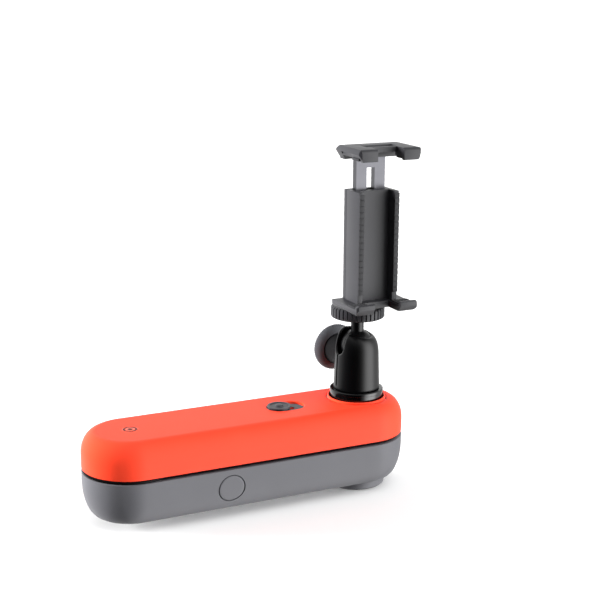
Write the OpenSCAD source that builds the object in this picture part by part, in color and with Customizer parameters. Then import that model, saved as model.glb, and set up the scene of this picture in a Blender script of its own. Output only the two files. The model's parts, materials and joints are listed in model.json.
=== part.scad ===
// Motorised two-arm camera slider with a ball head and a phone clamp.
// The lower arm turns on a tripod foot, the upper arm turns on the lower arm at the elbow,
// and the head turret turns on the upper arm, so the head travels in a straight line.
// Origin: centre of the foot's underside. +Z up, elbow towards -X, the clamp's lips towards -Y.

/* [Arms] */
// Distance between the two pivots of each arm
arm_c = 123; // [110:1:150]
// Radius of the arms' round ends
arm_r = 23.8; // [23:0.1:27]
// Wall of both arm cases
wall = 2; // [1.6:0.1:2.2]
// Height of the lower case
lower_h = 22; // [21.5:0.5:26]
// Height of the lower case's rounded flank
lower_round_v = 17.5; // [10:0.5:18]
// Inset of the lower case's rounded flank at its underside
lower_round_h = 7.4; // [4:0.1:7.6]
// Gap between the two arms
arm_gap = 1.5; // [1.2:0.1:3]
// Height of the upper case
upper_h = 18; // [17.8:0.2:22]
// Height of the upper case's rounded top edge
upper_round_v = 10.5; // [6:0.5:12]
// Inset of the upper case's rounded top edge
upper_round_h = 8.2; // [5:0.1:8.2]
// Thickness of the lower lid and of the upper base plate
plate_t = 1.8; // [1.4:0.1:2.2]

/* [Foot] */
// Radius of the foot's top edge
foot_r = 16; // [15:0.5:20]
// Taper of the foot's side, taken off the radius at the bottom
foot_taper = 1; // [0:0.1:2]
// Height from the surface to the underside of the lower case
foot_h = 5; // [3.4:0.1:6]
// Height by which the rubber ring stands proud of the foot
pad_proud = 0.5; // [0.2:0.1:0.8]
// Wall radius of the quarter inch tripod thread
thread_r = 3.175; // [3.175]
// Depth of the tripod thread
thread_depth = 8.5; // [6:0.5:9]

/* [Drive] */
// Module of the drive gear and its pinion
gear_module = 0.75; // [0.7:0.05:0.8]
// Teeth on the drive gear, an even number
gear_teeth = 44; // [42:2:46]
// Teeth on the motor pinion, an even number
pinion_teeth = 10; // [10:2:12]
// Height of the gears
gear_h = 3.5; // [2.5:0.5:3.5]
// Radius of the small pulley in the lower arm; its mate is twice as large
lower_pulley_r = 6; // [5:0.1:6.2]
// Radius of the small pulley in the upper arm; its mate is twice as large
upper_pulley_r = 6.5; // [6.2:0.1:6.6]
// Width of the belts
belt_w = 4; // [3:0.5:4]
// Thickness of the belts
belt_t = 1; // [0.6:0.1:1.2]
// Radius of the foot spindle
foot_spindle_r = 8; // [7.5:0.1:8.4]
// Radius of the head spindle
head_spindle_r = 7; // [6:0.1:7.4]
// Radius of the elbow shaft
elbow_shaft_r = 3; // [2.5:0.1:3.2]
// Radius of the gear motor
motor_r = 6.5; // [5.5:0.1:6.6]

/* [Controls] */
// Distance of the side button from the foot axis
button_x = 80; // [72:1:82]
// Radius of the side button
button_r = 6.65; // [5:0.05:6.7]
// Travel of the side button
button_travel = 1; // [0.5:0.1:1.5]
// Distance of the slide switch, at rest, from the foot axis
slide_x = 44; // [40:0.5:50]
// Radius of the slide switch's cap
slide_r = 6.15; // [5:0.05:6.2]
// Travel of the slide switch
slide_travel = 7; // [4:0.5:8]
// Depth of the slide switch's recess
slide_recess = 1.6; // [1:0.1:1.6]
// Radius of the status light
light_r = 4; // [3:0.1:5]

/* [Ball head] */
// Radius of the head's base disc
base_r = 13.8; // [12.5:0.1:13.9]
// Height of the base disc above the upper case
base_h = 5; // [4:0.1:7]
// Radius of the housing at its foot
housing_r = 11.9; // [11.6:0.1:13]
// Radius of the housing under its dome
housing_top_r = 11.3; // [10.8:0.1:11.5]
// Height from the base disc to the centre of the ball
ball_up = 22.6; // [22:0.1:26]
// Radius of the ball
ball_r = 8.4; // [7.8:0.1:8.4]
// Radius of the ball's opening in the housing
mouth_r = 7; // [6.6:0.1:7.1]
// Radius of the stem
stem_r = 3.3; // [3:0.1:3.4]
// Radius of the lock knob
knob_r = 12; // [10:0.5:13]
// Thickness of the lock knob
knob_t = 7.5; // [6:0.5:9]
// Radius of the lock wheel
wheel_r = 13.8; // [11:0.1:15]
// Height of the lock wheel
wheel_h = 6.2; // [5:0.1:8]
// Ribs round the lock wheel
wheel_ribs = 36; // [20:2:40]

/* [Clamp] */
// Opening between the jaws
grip = 71.5; // [66:0.5:80]
// Width of the jaws
jaw_w = 34; // [28:0.2:36]
// Gap between the two fingers of a jaw
finger_gap = 14.4; // [10:0.2:16]
// Reach of the jaws in front of the head's axis
jaw_reach = 31; // [30:0.5:36]
// Height of the lower jaw's block
lower_jaw_h = 3.9; // [3.5:0.1:6]
// Height of the upper jaw
upper_jaw_h = 5.6; // [5.4:0.1:8]
// Height of the lower jaw's lip above its pad
lip_h = 1.3; // [0.6:0.1:2.5]
// Thickness of the lips
lip_t = 2.2; // [1.6:0.1:3]
// How far the jaws close from rest
jaw_close = 15.5; // [10:0.5:16]
// How far the jaws open from rest
jaw_open = 19.5; // [10:0.5:20]

/* [Fits] */
// Radial clearance of a running fit
run_fit = 0.05; // [0.03:0.01:0.08]
// Clearance between pieces that pass each other
pass_gap = 0.3; // [0.2:0.05:0.35]
// Clearance between a belt and its pulley
belt_gap = 0.2; // [0.15:0.05:0.25]
// Clearance round the plates that close the cases
plate_gap = 0.1; // [0.05:0.05:0.2]

/* [Hidden] */
$fn = 64;
far = 400;
arc_steps = 12;

// Heights of the lower arm
lower_z = foot_h;
floor_z = lower_z + wall;
lower_top = lower_z + lower_h;
lid_z = lower_top - plate_t;

// Heights of the upper arm
upper_z = lower_top + arm_gap;
base_top = upper_z + plate_t;
upper_top = upper_z + upper_h;
roof_z = upper_top - wall;

// Foot, spindle and lower drive
foot_top = foot_h - pass_gap;
pad_r0 = 9;
pad_edge = 0.6;
pad_r1 = foot_r - foot_taper - pad_edge;
pad_groove = 1;
insert_wall = 1.8;
insert_end = 1;
insert_r = thread_r + insert_wall;
insert_h = thread_depth + insert_end;
shoulder_r = foot_spindle_r + 1.2;
shoulder_gap = 1;
floor_lip = 1;
foot_bearing_z = lower_z + floor_lip;
foot_bearing_h = 5;
foot_bearing_r = foot_spindle_r + 4;
boss_wall = 2.6;
belt_join = 0.05;
stack_gap = 0.4;
flange_t = 0.6;
flange_up = belt_t + belt_gap;
pulley_h = belt_w + 2 * belt_gap + 2 * flange_t;
lower_pulley_z = foot_bearing_z + foot_bearing_h + stack_gap;
lower_belt_z = lower_pulley_z + flange_t + belt_gap;
gear_over = 1.1;
gear_z = lower_pulley_z + pulley_h + gear_over;
clip_t = 0.8;
clip_w = 1.6;
foot_clip_z = gear_z + gear_h + plate_gap;
spindle_proud = 0.6;
foot_spindle_top = foot_clip_z + clip_t + spindle_proud;
motor_x = (gear_teeth + pinion_teeth) * gear_module / 2;
motor_under = 0.6;
motor_top = gear_z - motor_under;
motor_shaft_r = 1;
tooth_up = 0.8;
tooth_down = 1.25;
gear_root = 0.32;
gear_tip = 0.1;
pinion_root = 0.3;
pinion_tip = 0.09;

// Elbow
bush_r = elbow_shaft_r + 2.5;
post_bearing_r = 8;
post_r = elbow_shaft_r + 2;
post_flange_r = 13;
post_flange_t = 2.5;
elbow_bearing_r = 12;
elbow_bearing_h = 2.8;
elbow_boss_lip = 0.8;
elbow_bearing_z = upper_z + elbow_boss_lip;
elbow_ring_r = arm_r - 0.8;
elbow_hole_r = post_bearing_r + 1.5;
shaft_flange_r = 10;
shaft_flange_t = 1.8;

// Head spindle and upper drive
head_clip_z = base_top + stack_gap;
head_bearing_z = head_clip_z + clip_t + stack_gap / 2;
head_bearing_h = 3.4;
head_bearing_r = head_spindle_r + 5;
upper_pulley_z = head_bearing_z + head_bearing_h + 2 * stack_gap;
upper_belt_z = upper_pulley_z + flange_t + belt_gap;
turret_r = base_r + 1.4;
turret_wall = 1;
turret_top = upper_top;
turret_floor = roof_z - stack_gap;
turret_plate_t = 1.8;
bolt_r = 2.5;
bolt_head_r = 6;
bolt_head_h = 1.9;

// Boards, battery and bosses
screw_r = 1;
screw_head_r = 2;
screw_head_h = 1;
screw_len = 8;
boss_r = 2.3;
boss_gap = 0.95;
boss_from_elbow = 26;
lower_boss_x = -motor_x - motor_r - boss_r - boss_gap;
lower_bosses = [[lower_boss_x, lower_pulley_r], [-arm_c + boss_from_elbow, lower_pulley_r - boss_r]];
upper_boss_x = -2 * upper_pulley_r - flange_up - boss_r - boss_gap;
upper_bosses = [[upper_boss_x, upper_pulley_r], [-arm_c + boss_from_elbow, upper_pulley_r - boss_r]];
board_t = 1.2;
board_z = gear_z + 0.6;
board_from_elbow = 31;
board_gap = 1.7;
board_x = [-arm_c + board_from_elbow, lower_boss_x - boss_r - board_gap];
board_y = [-15, 16.5];
board_post_y = 14.6;
board_post_in = 2;
board_post_r = 1.6;
battery_size = [60, 30, 5.2];
battery_z = base_top + plate_gap;
control_z = battery_z + battery_size[2] + 2 * plate_gap;
control_size = [50, 16, 0.8];
control_in = 12;
usb_x = -62;
usb_size = [9, 7.4, 3.2];
usb_wall = 0.35;
usb_recess = 1.6;
usb_clear = 0.3;
usb_back = 1;

// Side button
button_drop = 9.7;
button_z = lower_top - button_drop;
button_back = -(arm_r - 5.4);
button_tab = [2 * button_r + 3.4, 1.2, 5];
button_tab_y = -(arm_r - 3.4);
button_gap = 0.25;
plunger_r = 1.2;
switch_r = 2.6;
switch_len = 2.6;
button_board_y = -12.4;
button_board = [16, 1];
plunger_gap = 0.1;
plunger_dip = button_travel + 0.2;

// Slide switch
slide_floor = upper_top - slide_recess;
slide_under = slide_floor - 1.6;
slide_rim = 0.3;
slide_wall = 2;
slide_lap = 0.5;
slide_cap_z = slide_floor + pass_gap;
slide_cap_top = upper_top + 0.5;
slide_nib_r = 1.6;
slide_nib_h = 0.6;
slide_stem_r = 1.2;
slide_slot = slide_stem_r + pass_gap;
carrier_t = 0.8;
carrier_w = 10;
carrier_z = slide_under - pass_gap - carrier_t;
slide_body_h = 4;
slide_body_w = 8;
slide_body_z = control_z + control_size[2];
slide_groove = 1.9;
slide_nub_z = slide_body_z + slide_body_h - slide_groove + pass_gap;
light_t = 1;

// Ball head
base_top_z = upper_top + base_h;
housing_z = base_top_z + pass_gap;
ball_z = base_top_z + ball_up;
cavity_r = ball_r + 0.2;
mouth_z = ball_z + sqrt(cavity_r * cavity_r - mouth_r * mouth_r);
dome_drop = 5;
mouth_edge = 1;
mouth_lip = 0.4;
dome_z = ball_z - dome_drop;
dome_top = mouth_z + mouth_edge;
dome_top_r = mouth_r + mouth_lip;
slit_w = 0.9;
slit_depth = 1.3;
slit_foot = 1.5;
housing_floor = 5.3;
pan_post_r = 4;
bolt_top = housing_z + housing_floor + pass_gap + bolt_head_h;
cup_r = cavity_r - 0.2;
cup_gap = 0.1;
cup_z = bolt_top + pass_gap;
cup_top = ball_z - 5.5;
notch_r = stem_r + 0.4;
knob_drop = 7.4;
knob_z = ball_z - knob_drop;
knob_y = 17.5;
knob_boss_r = 6.2;
knob_screw_r = 2.5;
knob_hub_r = knob_r - 3;
knob_ribs = 40;
hub_dip = 0.8;
rib_depth = 0.6;
rib_crest = 0.25;
rib_foot = 0.4;
ball_flat = 0.8;
stem_pin_r = 2;
stem_pin_len = 6;
stem_flange_r = 5;
stem_flange_t = 1.2;
wheel_up = 14.8;
wheel_z = ball_z + wheel_up;
stud_r = thread_r;

// Clamp
clamp_z = wheel_z + wheel_h + pass_gap;
jaw_z = clamp_z + 2.3;
grip_z = jaw_z + lower_jaw_h;
upper_grip_z = grip_z + grip;
jaw_top = upper_grip_z + upper_jaw_h;
pad_t = 1.2;
pad_in = 0.6;
pad_side = 0.6;
pad_gap = 0.2;
pad_back = 0.4;
clamp_boss_r = 9;
finger_depth = 12;
upper_finger_depth = 7.5;
jaw_plate_t = 2.6;
jaw_back = -6.4;
jaw_block_front = -12;
jaw_chamfer = 2;
finger_corner = 1.5;
finger_bevel = 2;
jaw_bevel = 1.8;
jaw_drop = 1;
upper_lip = 0.4;
finger_len = 9.4;
finger_back = -jaw_reach + finger_len;
window = [17, 6.5];
window_in = 1.6;
tongue_w = 16;
tongue_y = [-11, -7.4];
tongue_top = upper_grip_z + 2;
tongue_slot = 4.4;
tongue_bridge = 6;
tongue_hold = 15.7;
anchor_drop = 22;
anchor_z = upper_grip_z - anchor_drop;
anchor_h = 2;
spring_gap = 0.1;
sleeve_w = 22;
sleeve_front = -14.5;
sleeve_back = -4.2;
sleeve_top = upper_grip_z - jaw_drop - jaw_close - pass_gap;
tongue_foot = sleeve_top - jaw_open - tongue_hold;
cover_front = tongue_y[1] + pass_gap;
channel_floor = grip_z + 2.5;
rib_w = 2.6;
rib_front = -20;
rib_pad_t = 0.9;
rib_pad_z = [grip_z + 4, sleeve_top - 1];
spring_r = 1.6;
spring_wire = 0.6;
cover_screw_r = 0.8;
cover_screw_head = 1.4;
cover_screw_len = 6.6;
cover_head_h = 1;
cover_screw_x = sleeve_w / 2 - 1.35;
cover_screw_z = [channel_floor + 5, sleeve_top - 6];

// Colours
orange = [0.95, 0.28, 0.18];
grey = [0.42, 0.42, 0.44];
dark = [0.25, 0.25, 0.27];
black = [0.07, 0.07, 0.08];
steel = [0.7, 0.7, 0.72];
brass = [0.78, 0.62, 0.3];
green = [0.1, 0.35, 0.2];
rubber = [0.12, 0.12, 0.13];

// Outline of the lower case as radius and height, shrunk by a wall, from a chosen height up
function lower_edge(shrink) = [
    for (i = [0 : arc_steps])
        let (a = 90 * i / arc_steps)
        [arm_r - shrink - lower_round_h * (1 - sin(a)), lower_z + lower_round_v * (1 - cos(a))]
];

// Outline of the upper case's rounded top edge as radius and height, shrunk by a wall
function upper_edge(shrink, top) = [
    for (i = [0 : arc_steps])
        let (a = 90 * i / arc_steps)
        [arm_r - shrink - upper_round_h * (1 - cos(a)), top - upper_round_v * (1 - sin(a))]
];

module lower_profile(shrink, top) {
    polygon(concat([[0, lower_z]], lower_edge(shrink), [[arm_r - shrink, top], [0, top]]));
}

module upper_profile(shrink, top) {
    polygon(concat([[0, upper_z], [arm_r - shrink, upper_z]], upper_edge(shrink, top), [[0, top]]));
}

// Sweeps a half outline along the straight middle of an arm
module arm_bar() {
    translate([-arm_c, 0, 0]) rotate([90, 0, 90]) linear_extrude(arm_c) {
        children();
        mirror([1, 0]) children();
    }
}

// Sweeps a half outline round the whole arm: two half turns and the straight middle
module arm_sweep() {
    rotate([0, 0, -90]) rotate_extrude(angle = 180) children();
    translate([-arm_c, 0, 0]) rotate([0, 0, 90]) rotate_extrude(angle = 180) children();
    arm_bar() children();
}

// A flat plate with the arm's outline
module arm_plate(r, z, t) {
    arm_sweep() translate([0, z]) square([r, t]);
}

module disc(r, z, h) {
    translate([0, 0, z]) cylinder(r = r, h = h);
}

module ring(r_in, r_out, z, h) {
    difference() {
        disc(r_out, z, h);
        disc(r_in, z - 1, h + 2);
    }
}

// A cylinder along Y between two places
module rod_y(r, y0, y1) {
    translate([0, y0, 0]) rotate([-90, 0, 0]) cylinder(r = r, h = y1 - y0);
}

// A box from one corner to the other
module block(low, high) {
    translate(low) cube(high - low);
}

// Places its children at the four screw bosses of an arm, inside the loop of its belt
module at_bosses(places) {
    for (p = places, s = [-1, 1]) translate([p[0], s * p[1], 0]) children();
}

module at_elbow() {
    translate([-arm_c, 0, 0]) children();
}

// A flat bottomed slot with round ends along X
module slot_x(x0, x1, r, z, h) {
    translate([x0, 0, 0]) disc(r, z, h);
    translate([x1, 0, 0]) disc(r, z, h);
    block([x0, -r, z], [x1, r, z + h]);
}

// Outline of a gear with straight-sided teeth; root and tip are half widths as shares of the pitch
function gear_points(teeth, root, tip, phase) = [
    for (i = [0 : teeth - 1],
         p = [[-root, -tooth_down], [-tip, tooth_up], [tip, tooth_up], [root, -tooth_down]])
        let (r = teeth * gear_module / 2 + p[1] * gear_module,
             a = (i + phase + p[0]) * 360 / teeth)
        [r * cos(a), r * sin(a)]
];

// Outline of a ribbed grip
function rib_points(ribs, r) = [
    for (i = [0 : ribs - 1],
         p = [[-rib_foot, rib_depth], [-rib_crest, 0], [rib_crest, 0], [rib_foot, rib_depth]])
        let (a = (i + p[0]) * 360 / ribs)
        [(r - p[1]) * cos(a), (r - p[1]) * sin(a)]
];

// A flanged belt pulley with a bore
module pulley(r, bore, z) {
    difference() {
        union() {
            disc(r, z, pulley_h);
            disc(r + flange_up, z, flange_t);
            disc(r + flange_up, z + pulley_h - flange_t, flange_t);
        }
        disc(bore, z - 1, pulley_h + 2);
    }
}

// A closed belt round a pulley at the foot axis and one at the elbow
module belt(r_foot, r_elbow, z) {
    lean = asin((r_foot - r_elbow) / arm_c);
    translate([0, 0, z]) {
        rotate(-90 - lean) rotate_extrude(angle = 180 + 2 * lean)
            translate([r_foot + belt_gap, 0]) square([belt_t, belt_w]);
        at_elbow() rotate(90 + lean) rotate_extrude(angle = 180 - 2 * lean)
            translate([r_elbow + belt_gap, 0]) square([belt_t, belt_w]);
        for (side = [0, 1]) mirror([0, side, 0]) rotate(90 + lean)
            translate([r_foot + belt_gap, -belt_join, 0])
                cube([belt_t, arm_c * cos(lean) + 2 * belt_join, belt_w]);
    }
}

// A pan head screw pointing up from its head's underside at z
module screw_up(z) {
    disc(screw_head_r, z, screw_head_h);
    disc(screw_r, z + screw_head_h, screw_len);
}

// Foot: the fixed base that stands on a surface or a tripod

module foot() {
    color(grey) difference() {
        rotate_extrude() polygon([
            [insert_r, pad_proud], [foot_r - foot_taper, pad_proud],
            [foot_r, foot_top], [insert_r, foot_top]
        ]);
        ring(pad_r0, pad_r1, -1, 1 + pad_proud + pad_groove);
    }
}

module foot_pad() {
    color(rubber) ring(pad_r0, pad_r1, 0, pad_proud + pad_groove);
}

module thread_insert() {
    color(brass) difference() {
        disc(insert_r, 0, insert_h);
        disc(thread_r, -1, thread_depth + 1);
    }
}

module foot_spindle() {
    color(steel) difference() {
        union() {
            disc(foot_spindle_r, foot_top, foot_spindle_top - foot_top);
            disc(shoulder_r, foot_top, floor_lip);
        }
        disc(insert_r, 0, insert_h);
    }
}

module foot_pulley() {
    color(steel) pulley(2 * lower_pulley_r, foot_spindle_r, lower_pulley_z);
}

module drive_gear() {
    color(brass) translate([0, 0, gear_z]) linear_extrude(gear_h) difference() {
        polygon(gear_points(gear_teeth, gear_root, gear_tip, 0));
        circle(foot_spindle_r);
    }
}

module foot_clip() {
    color(steel) ring(foot_spindle_r, foot_spindle_r + clip_w, foot_clip_z, clip_t);
}

// Lower arm

module usb_slot(size, z, y0, y1) {
    r = size[2] / 2;
    translate([usb_x, 0, z + r]) {
        for (s = [-1, 1]) translate([s * (size[0] / 2 - r), 0, 0]) rod_y(r, y0, y1);
        block([-(size[0] / 2 - r), y0, -r], [size[0] / 2 - r, y1, r]);
    }
}

module lower_case() {
    button_hole = button_r + button_gap;
    usb_hole = usb_size + usb_clear * [2, 0, 2];
    rise_z = lower_z + floor_lip;
    post_x = [board_x[0] + board_post_in, board_x[1] - board_post_in];
    color(grey) difference() {
        union() {
            difference() {
                arm_sweep() lower_profile(0, lower_top);
                intersection() {
                    arm_sweep() lower_profile(wall, lower_top + 1);
                    block([-far, -far, floor_z], [far, far, far]);
                }
            }
            disc(foot_bearing_r + boss_wall, rise_z, foot_bearing_h);
            at_elbow() disc(foot_bearing_r, rise_z, foot_bearing_h);
            at_bosses(lower_bosses) disc(boss_r, rise_z, lid_z - rise_z);
            for (x = post_x, s = [-1, 1])
                translate([x, s * board_post_y, 0]) disc(board_post_r, rise_z, board_z - rise_z);
        }
        disc(foot_bearing_r, foot_bearing_z, far);
        disc(shoulder_r + shoulder_gap, -1, far);
        translate([-motor_x, 0, 0]) disc(motor_r + run_fit, floor_z, far);
        at_elbow() disc(bush_r, floor_z, far);
        at_bosses(lower_bosses) disc(screw_r, lid_z - screw_len, far);
        translate([-button_x, 0, button_z]) rod_y(button_hole, -far, button_back);
        usb_slot(usb_hole, board_z + board_t - usb_clear, 0, far);
    }
}

module lower_lid() {
    color(dark) difference() {
        arm_plate(arm_r - wall - plate_gap, lid_z, plate_t);
        at_elbow() disc(post_bearing_r, 0, far);
        at_bosses(lower_bosses) {
            disc(screw_r, 0, far);
            disc(screw_head_r, lower_top - screw_head_h, far);
        }
    }
}

module lower_screws() {
    color(steel) at_bosses(lower_bosses) translate([0, 0, lower_top]) mirror([0, 0, 1]) screw_up(0);
}

module foot_bearing() {
    color(steel) ring(foot_spindle_r + run_fit, foot_bearing_r - run_fit, foot_bearing_z, foot_bearing_h);
}

module elbow_bush() {
    color(brass) at_elbow()
        ring(elbow_shaft_r + run_fit, bush_r - run_fit,
             floor_z, foot_bearing_z + foot_bearing_h - floor_z);
}

module elbow_post() {
    post_top = upper_pulley_z + pulley_h;
    color(steel) at_elbow() difference() {
        union() {
            disc(post_flange_r, lid_z - post_flange_t, post_flange_t);
            disc(post_bearing_r, lid_z, elbow_bearing_z + elbow_bearing_h - lid_z);
            disc(post_r, lid_z, post_top - lid_z);
        }
        disc(elbow_shaft_r + run_fit, 0, far);
    }
}

module elbow_fixed_pulley() {
    color(steel) at_elbow() pulley(upper_pulley_r, post_r, upper_pulley_z);
}

module elbow_ring() {
    color(black) at_elbow() ring(post_bearing_r, elbow_ring_r, lower_top, arm_gap - pass_gap);
}

module lower_belt() {
    color(black) belt(2 * lower_pulley_r, lower_pulley_r, lower_belt_z);
}

module gear_motor() {
    color(steel) translate([-motor_x, 0, 0]) {
        disc(motor_r, floor_z, motor_top - floor_z);
        disc(motor_shaft_r, motor_top, gear_z + gear_h - motor_top);
    }
}

module main_board() {
    notch = button_tab[0] / 2 + 1;
    color(green) difference() {
        block([board_x[0], board_y[0], board_z], [board_x[1], board_y[1], board_z + board_t]);
        translate([-button_x, 0, 0])
            block([-notch, -far, 0], [notch, button_board_y + button_board[1] + pass_gap, far]);
    }
}

module usb_socket() {
    mouth = arm_r - usb_recess;
    z = board_z + board_t;
    inner = usb_size - 2 * usb_wall * [1, 0, 1];
    color(steel) difference() {
        usb_slot(usb_size, z, mouth - usb_size[1], mouth);
        usb_slot(inner, z + usb_wall, mouth - usb_size[1] + usb_back, far);
    }
}

module button_switch() {
    color(dark) translate([-button_x, 0, 0]) difference() {
        union() {
            block([-button_board[0] / 2, button_board_y, floor_z],
                  [button_board[0] / 2, button_board_y + button_board[1], lid_z]);
            translate([0, 0, button_z]) rod_y(switch_r, button_board_y - switch_len, button_board_y);
        }
        translate([0, 0, button_z]) rod_y(plunger_r + plunger_gap, -far, button_board_y);
    }
}

module drive_pinion() {
    color(brass) translate([-motor_x, 0, gear_z]) linear_extrude(gear_h) difference() {
        polygon(gear_points(pinion_teeth, pinion_root, pinion_tip, 0.5));
        circle(motor_shaft_r + run_fit);
    }
}

// Side button: its face follows the case's flank
module side_button() {
    color(grey) {
        intersection() {
            translate([-button_x, 0, button_z]) rod_y(button_r, -far, button_back);
            arm_bar() lower_profile(0, lower_top);
        }
        translate([-button_x, button_tab_y, button_z])
            block(-button_tab / 2, button_tab / 2);
    }
}

module button_plunger() {
    color(dark) translate([-button_x, 0, button_z])
        rod_y(plunger_r, button_back, button_board_y - plunger_dip);
}

// Upper arm

module upper_case() {
    slide_x1 = -slide_x + slide_travel;
    color(orange) difference() {
        union() {
            difference() {
                arm_sweep() upper_profile(0, upper_top);
                intersection() {
                    arm_sweep() upper_profile(wall, roof_z);
                    block([-far, -far, upper_z - 1], [far, far, roof_z]);
                }
                arm_plate(arm_r - wall, upper_z - 1, plate_t + 1);
            }
            at_bosses(upper_bosses) disc(boss_r, base_top, roof_z - base_top + wall / 2);
            slot_x(-slide_x, slide_x1, slide_r + slide_wall,
                   slide_under, slide_floor - slide_under + slide_lap);
        }
        disc(turret_r + pass_gap, base_top, far);
        at_bosses(upper_bosses) disc(screw_r, 0, upper_z + screw_head_h + screw_len);
        slot_x(-slide_x, slide_x1, slide_r + slide_rim, slide_floor, far);
        slot_x(-slide_x, slide_x1, slide_slot, 0, far);
        at_elbow() disc(light_r + run_fit, upper_top - light_t, far);
    }
}

module upper_base() {
    elbow_boss_top = elbow_bearing_z + elbow_bearing_h;
    color(dark) difference() {
        union() {
            arm_plate(arm_r - wall - plate_gap, upper_z, plate_t);
            disc(head_bearing_r + boss_wall, upper_z, head_bearing_z + head_bearing_h - upper_z);
            at_elbow() disc(elbow_bearing_r + boss_wall, upper_z, elbow_boss_top - upper_z);
        }
        disc(head_bearing_r, base_top, far);
        at_elbow() {
            disc(elbow_bearing_r, elbow_bearing_z, far);
            disc(elbow_hole_r, 0, far);
        }
        at_bosses(upper_bosses) {
            disc(screw_r, 0, far);
            disc(screw_head_r, 0, upper_z + screw_head_h);
        }
    }
}

module upper_screws() {
    color(steel) at_bosses(upper_bosses) screw_up(upper_z);
}

module elbow_shaft() {
    shaft_foot = floor_z + pass_gap;
    color(steel) at_elbow() {
        disc(elbow_shaft_r, shaft_foot, roof_z - shaft_foot);
        disc(shaft_flange_r, roof_z - shaft_flange_t, shaft_flange_t);
    }
}

module elbow_drive_pulley() {
    color(steel) at_elbow() pulley(lower_pulley_r, elbow_shaft_r, lower_pulley_z);
}

module elbow_bearing() {
    color(steel) at_elbow()
        ring(post_bearing_r + run_fit, elbow_bearing_r - run_fit, elbow_bearing_z, elbow_bearing_h);
}

module head_bearing() {
    color(steel) ring(head_spindle_r + run_fit, head_bearing_r - run_fit, head_bearing_z, head_bearing_h);
}

module upper_belt() {
    color(black) belt(2 * upper_pulley_r, upper_pulley_r, upper_belt_z);
}

module battery() {
    color("slategray") translate([-arm_c / 2 - battery_size[0] / 2, -battery_size[1] / 2, battery_z])
        cube(battery_size);
}

module control_board() {
    x = -arm_c / 2 - battery_size[0] / 2 + control_in;
    color(green) translate([x, -control_size[1] / 2, control_z]) cube(control_size);
}

module slide_switch_body() {
    half = slide_body_w / 2;
    x1 = -slide_x + slide_travel;
    top = slide_body_z + slide_body_h;
    color(black) difference() {
        block([-slide_x - half, -half, slide_body_z], [x1 + half, half, top]);
        slot_x(-slide_x, x1, slide_slot, top - slide_groove, far);
    }
}

module status_light() {
    color("white") at_elbow() disc(light_r, upper_top - light_t, light_t);
}

module slide_button() {
    color(dark) translate([-slide_x, 0, 0]) {
        disc(slide_r, slide_cap_z, slide_cap_top - slide_cap_z);
        disc(slide_nib_r, slide_cap_top, slide_nib_h);
    }
}

module slide_carrier() {
    half = carrier_w / 2;
    color(black) translate([-slide_x, 0, 0]) {
        block([-half, -half, carrier_z], [half, half, carrier_z + carrier_t]);
        disc(slide_stem_r, slide_nub_z, slide_cap_z - slide_nub_z);
    }
}

// Head turret: keeps the head facing one way while the arms swing

module head_spindle() {
    color(steel) difference() {
        disc(head_spindle_r, head_clip_z, turret_floor - head_clip_z);
        disc(bolt_r, upper_pulley_z, far);
    }
}

module head_pulley() {
    color(steel) pulley(2 * upper_pulley_r, head_spindle_r, upper_pulley_z);
}

module head_clip() {
    color(steel) ring(head_spindle_r, head_spindle_r + clip_w, head_clip_z, clip_t);
}

module turret_ring() {
    color(orange) difference() {
        disc(turret_r, turret_floor - turret_plate_t, turret_top - turret_floor + turret_plate_t);
        disc(turret_r - turret_wall, turret_floor, far);
        disc(head_spindle_r, 0, far);
    }
}

module head_base() {
    color(black) difference() {
        union() {
            disc(base_r, turret_floor, base_top_z - turret_floor);
            disc(pan_post_r, turret_floor, housing_z + housing_floor - turret_floor);
        }
        disc(bolt_r, 0, far);
    }
}

module pan_bolt() {
    color(steel) {
        disc(bolt_r, upper_pulley_z, bolt_top - upper_pulley_z);
        disc(bolt_head_r, bolt_top - bolt_head_h, bolt_head_h);
    }
}

// Ball head

function dome_edge() = [
    for (i = [0 : arc_steps])
        let (a = 90 * i / arc_steps)
        [dome_top_r + (housing_top_r - dome_top_r) * cos(a), dome_z + (dome_top - dome_z) * sin(a)]
];

module head_housing() {
    color(black) difference() {
        union() {
            rotate_extrude()
                polygon(concat([[0, housing_z], [housing_r, housing_z]], dome_edge(), [[0, dome_top]]));
            translate([0, 0, knob_z]) rod_y(knob_boss_r, 0, knob_y - pass_gap);
        }
        translate([0, 0, ball_z]) sphere(cavity_r);
        disc(cavity_r, housing_z + housing_floor, ball_z - housing_z - housing_floor);
        disc(pan_post_r + run_fit, 0, far);
        translate([0, 0, ball_z]) cylinder(r = mouth_r, h = far);
        translate([0, 0, ball_z]) rotate([0, -90, 0]) cylinder(r = notch_r, h = far);
        block([-far, -notch_r, ball_z], [0, notch_r, far]);
        block([-far, -slit_w / 2, housing_z + slit_foot], [slit_depth - housing_top_r, slit_w / 2, ball_z]);
        translate([0, 0, knob_z]) rod_y(knob_screw_r + run_fit, 0, far);
    }
}

module ball_cup() {
    color(brass) difference() {
        disc(cup_r, cup_z, cup_top - cup_z);
        translate([0, 0, ball_z]) sphere(ball_r + cup_gap);
    }
}

module knob_hub() {
    color(dark) translate([0, 0, knob_z]) difference() {
        rod_y(knob_hub_r, knob_y, knob_y + knob_t - hub_dip);
        rod_y(knob_screw_r, 0, knob_y + knob_t / 2);
    }
}

module knob_rim() {
    color(grey) translate([0, knob_y + knob_t, knob_z]) rotate([90, 0, 0])
        linear_extrude(knob_t) difference() {
            polygon(rib_points(knob_ribs, knob_r));
            circle(knob_hub_r);
        }
}

module knob_screw() {
    color(steel) translate([0, 0, knob_z]) rod_y(knob_screw_r, cup_r + pass_gap, knob_y + knob_t / 2);
}

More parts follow.
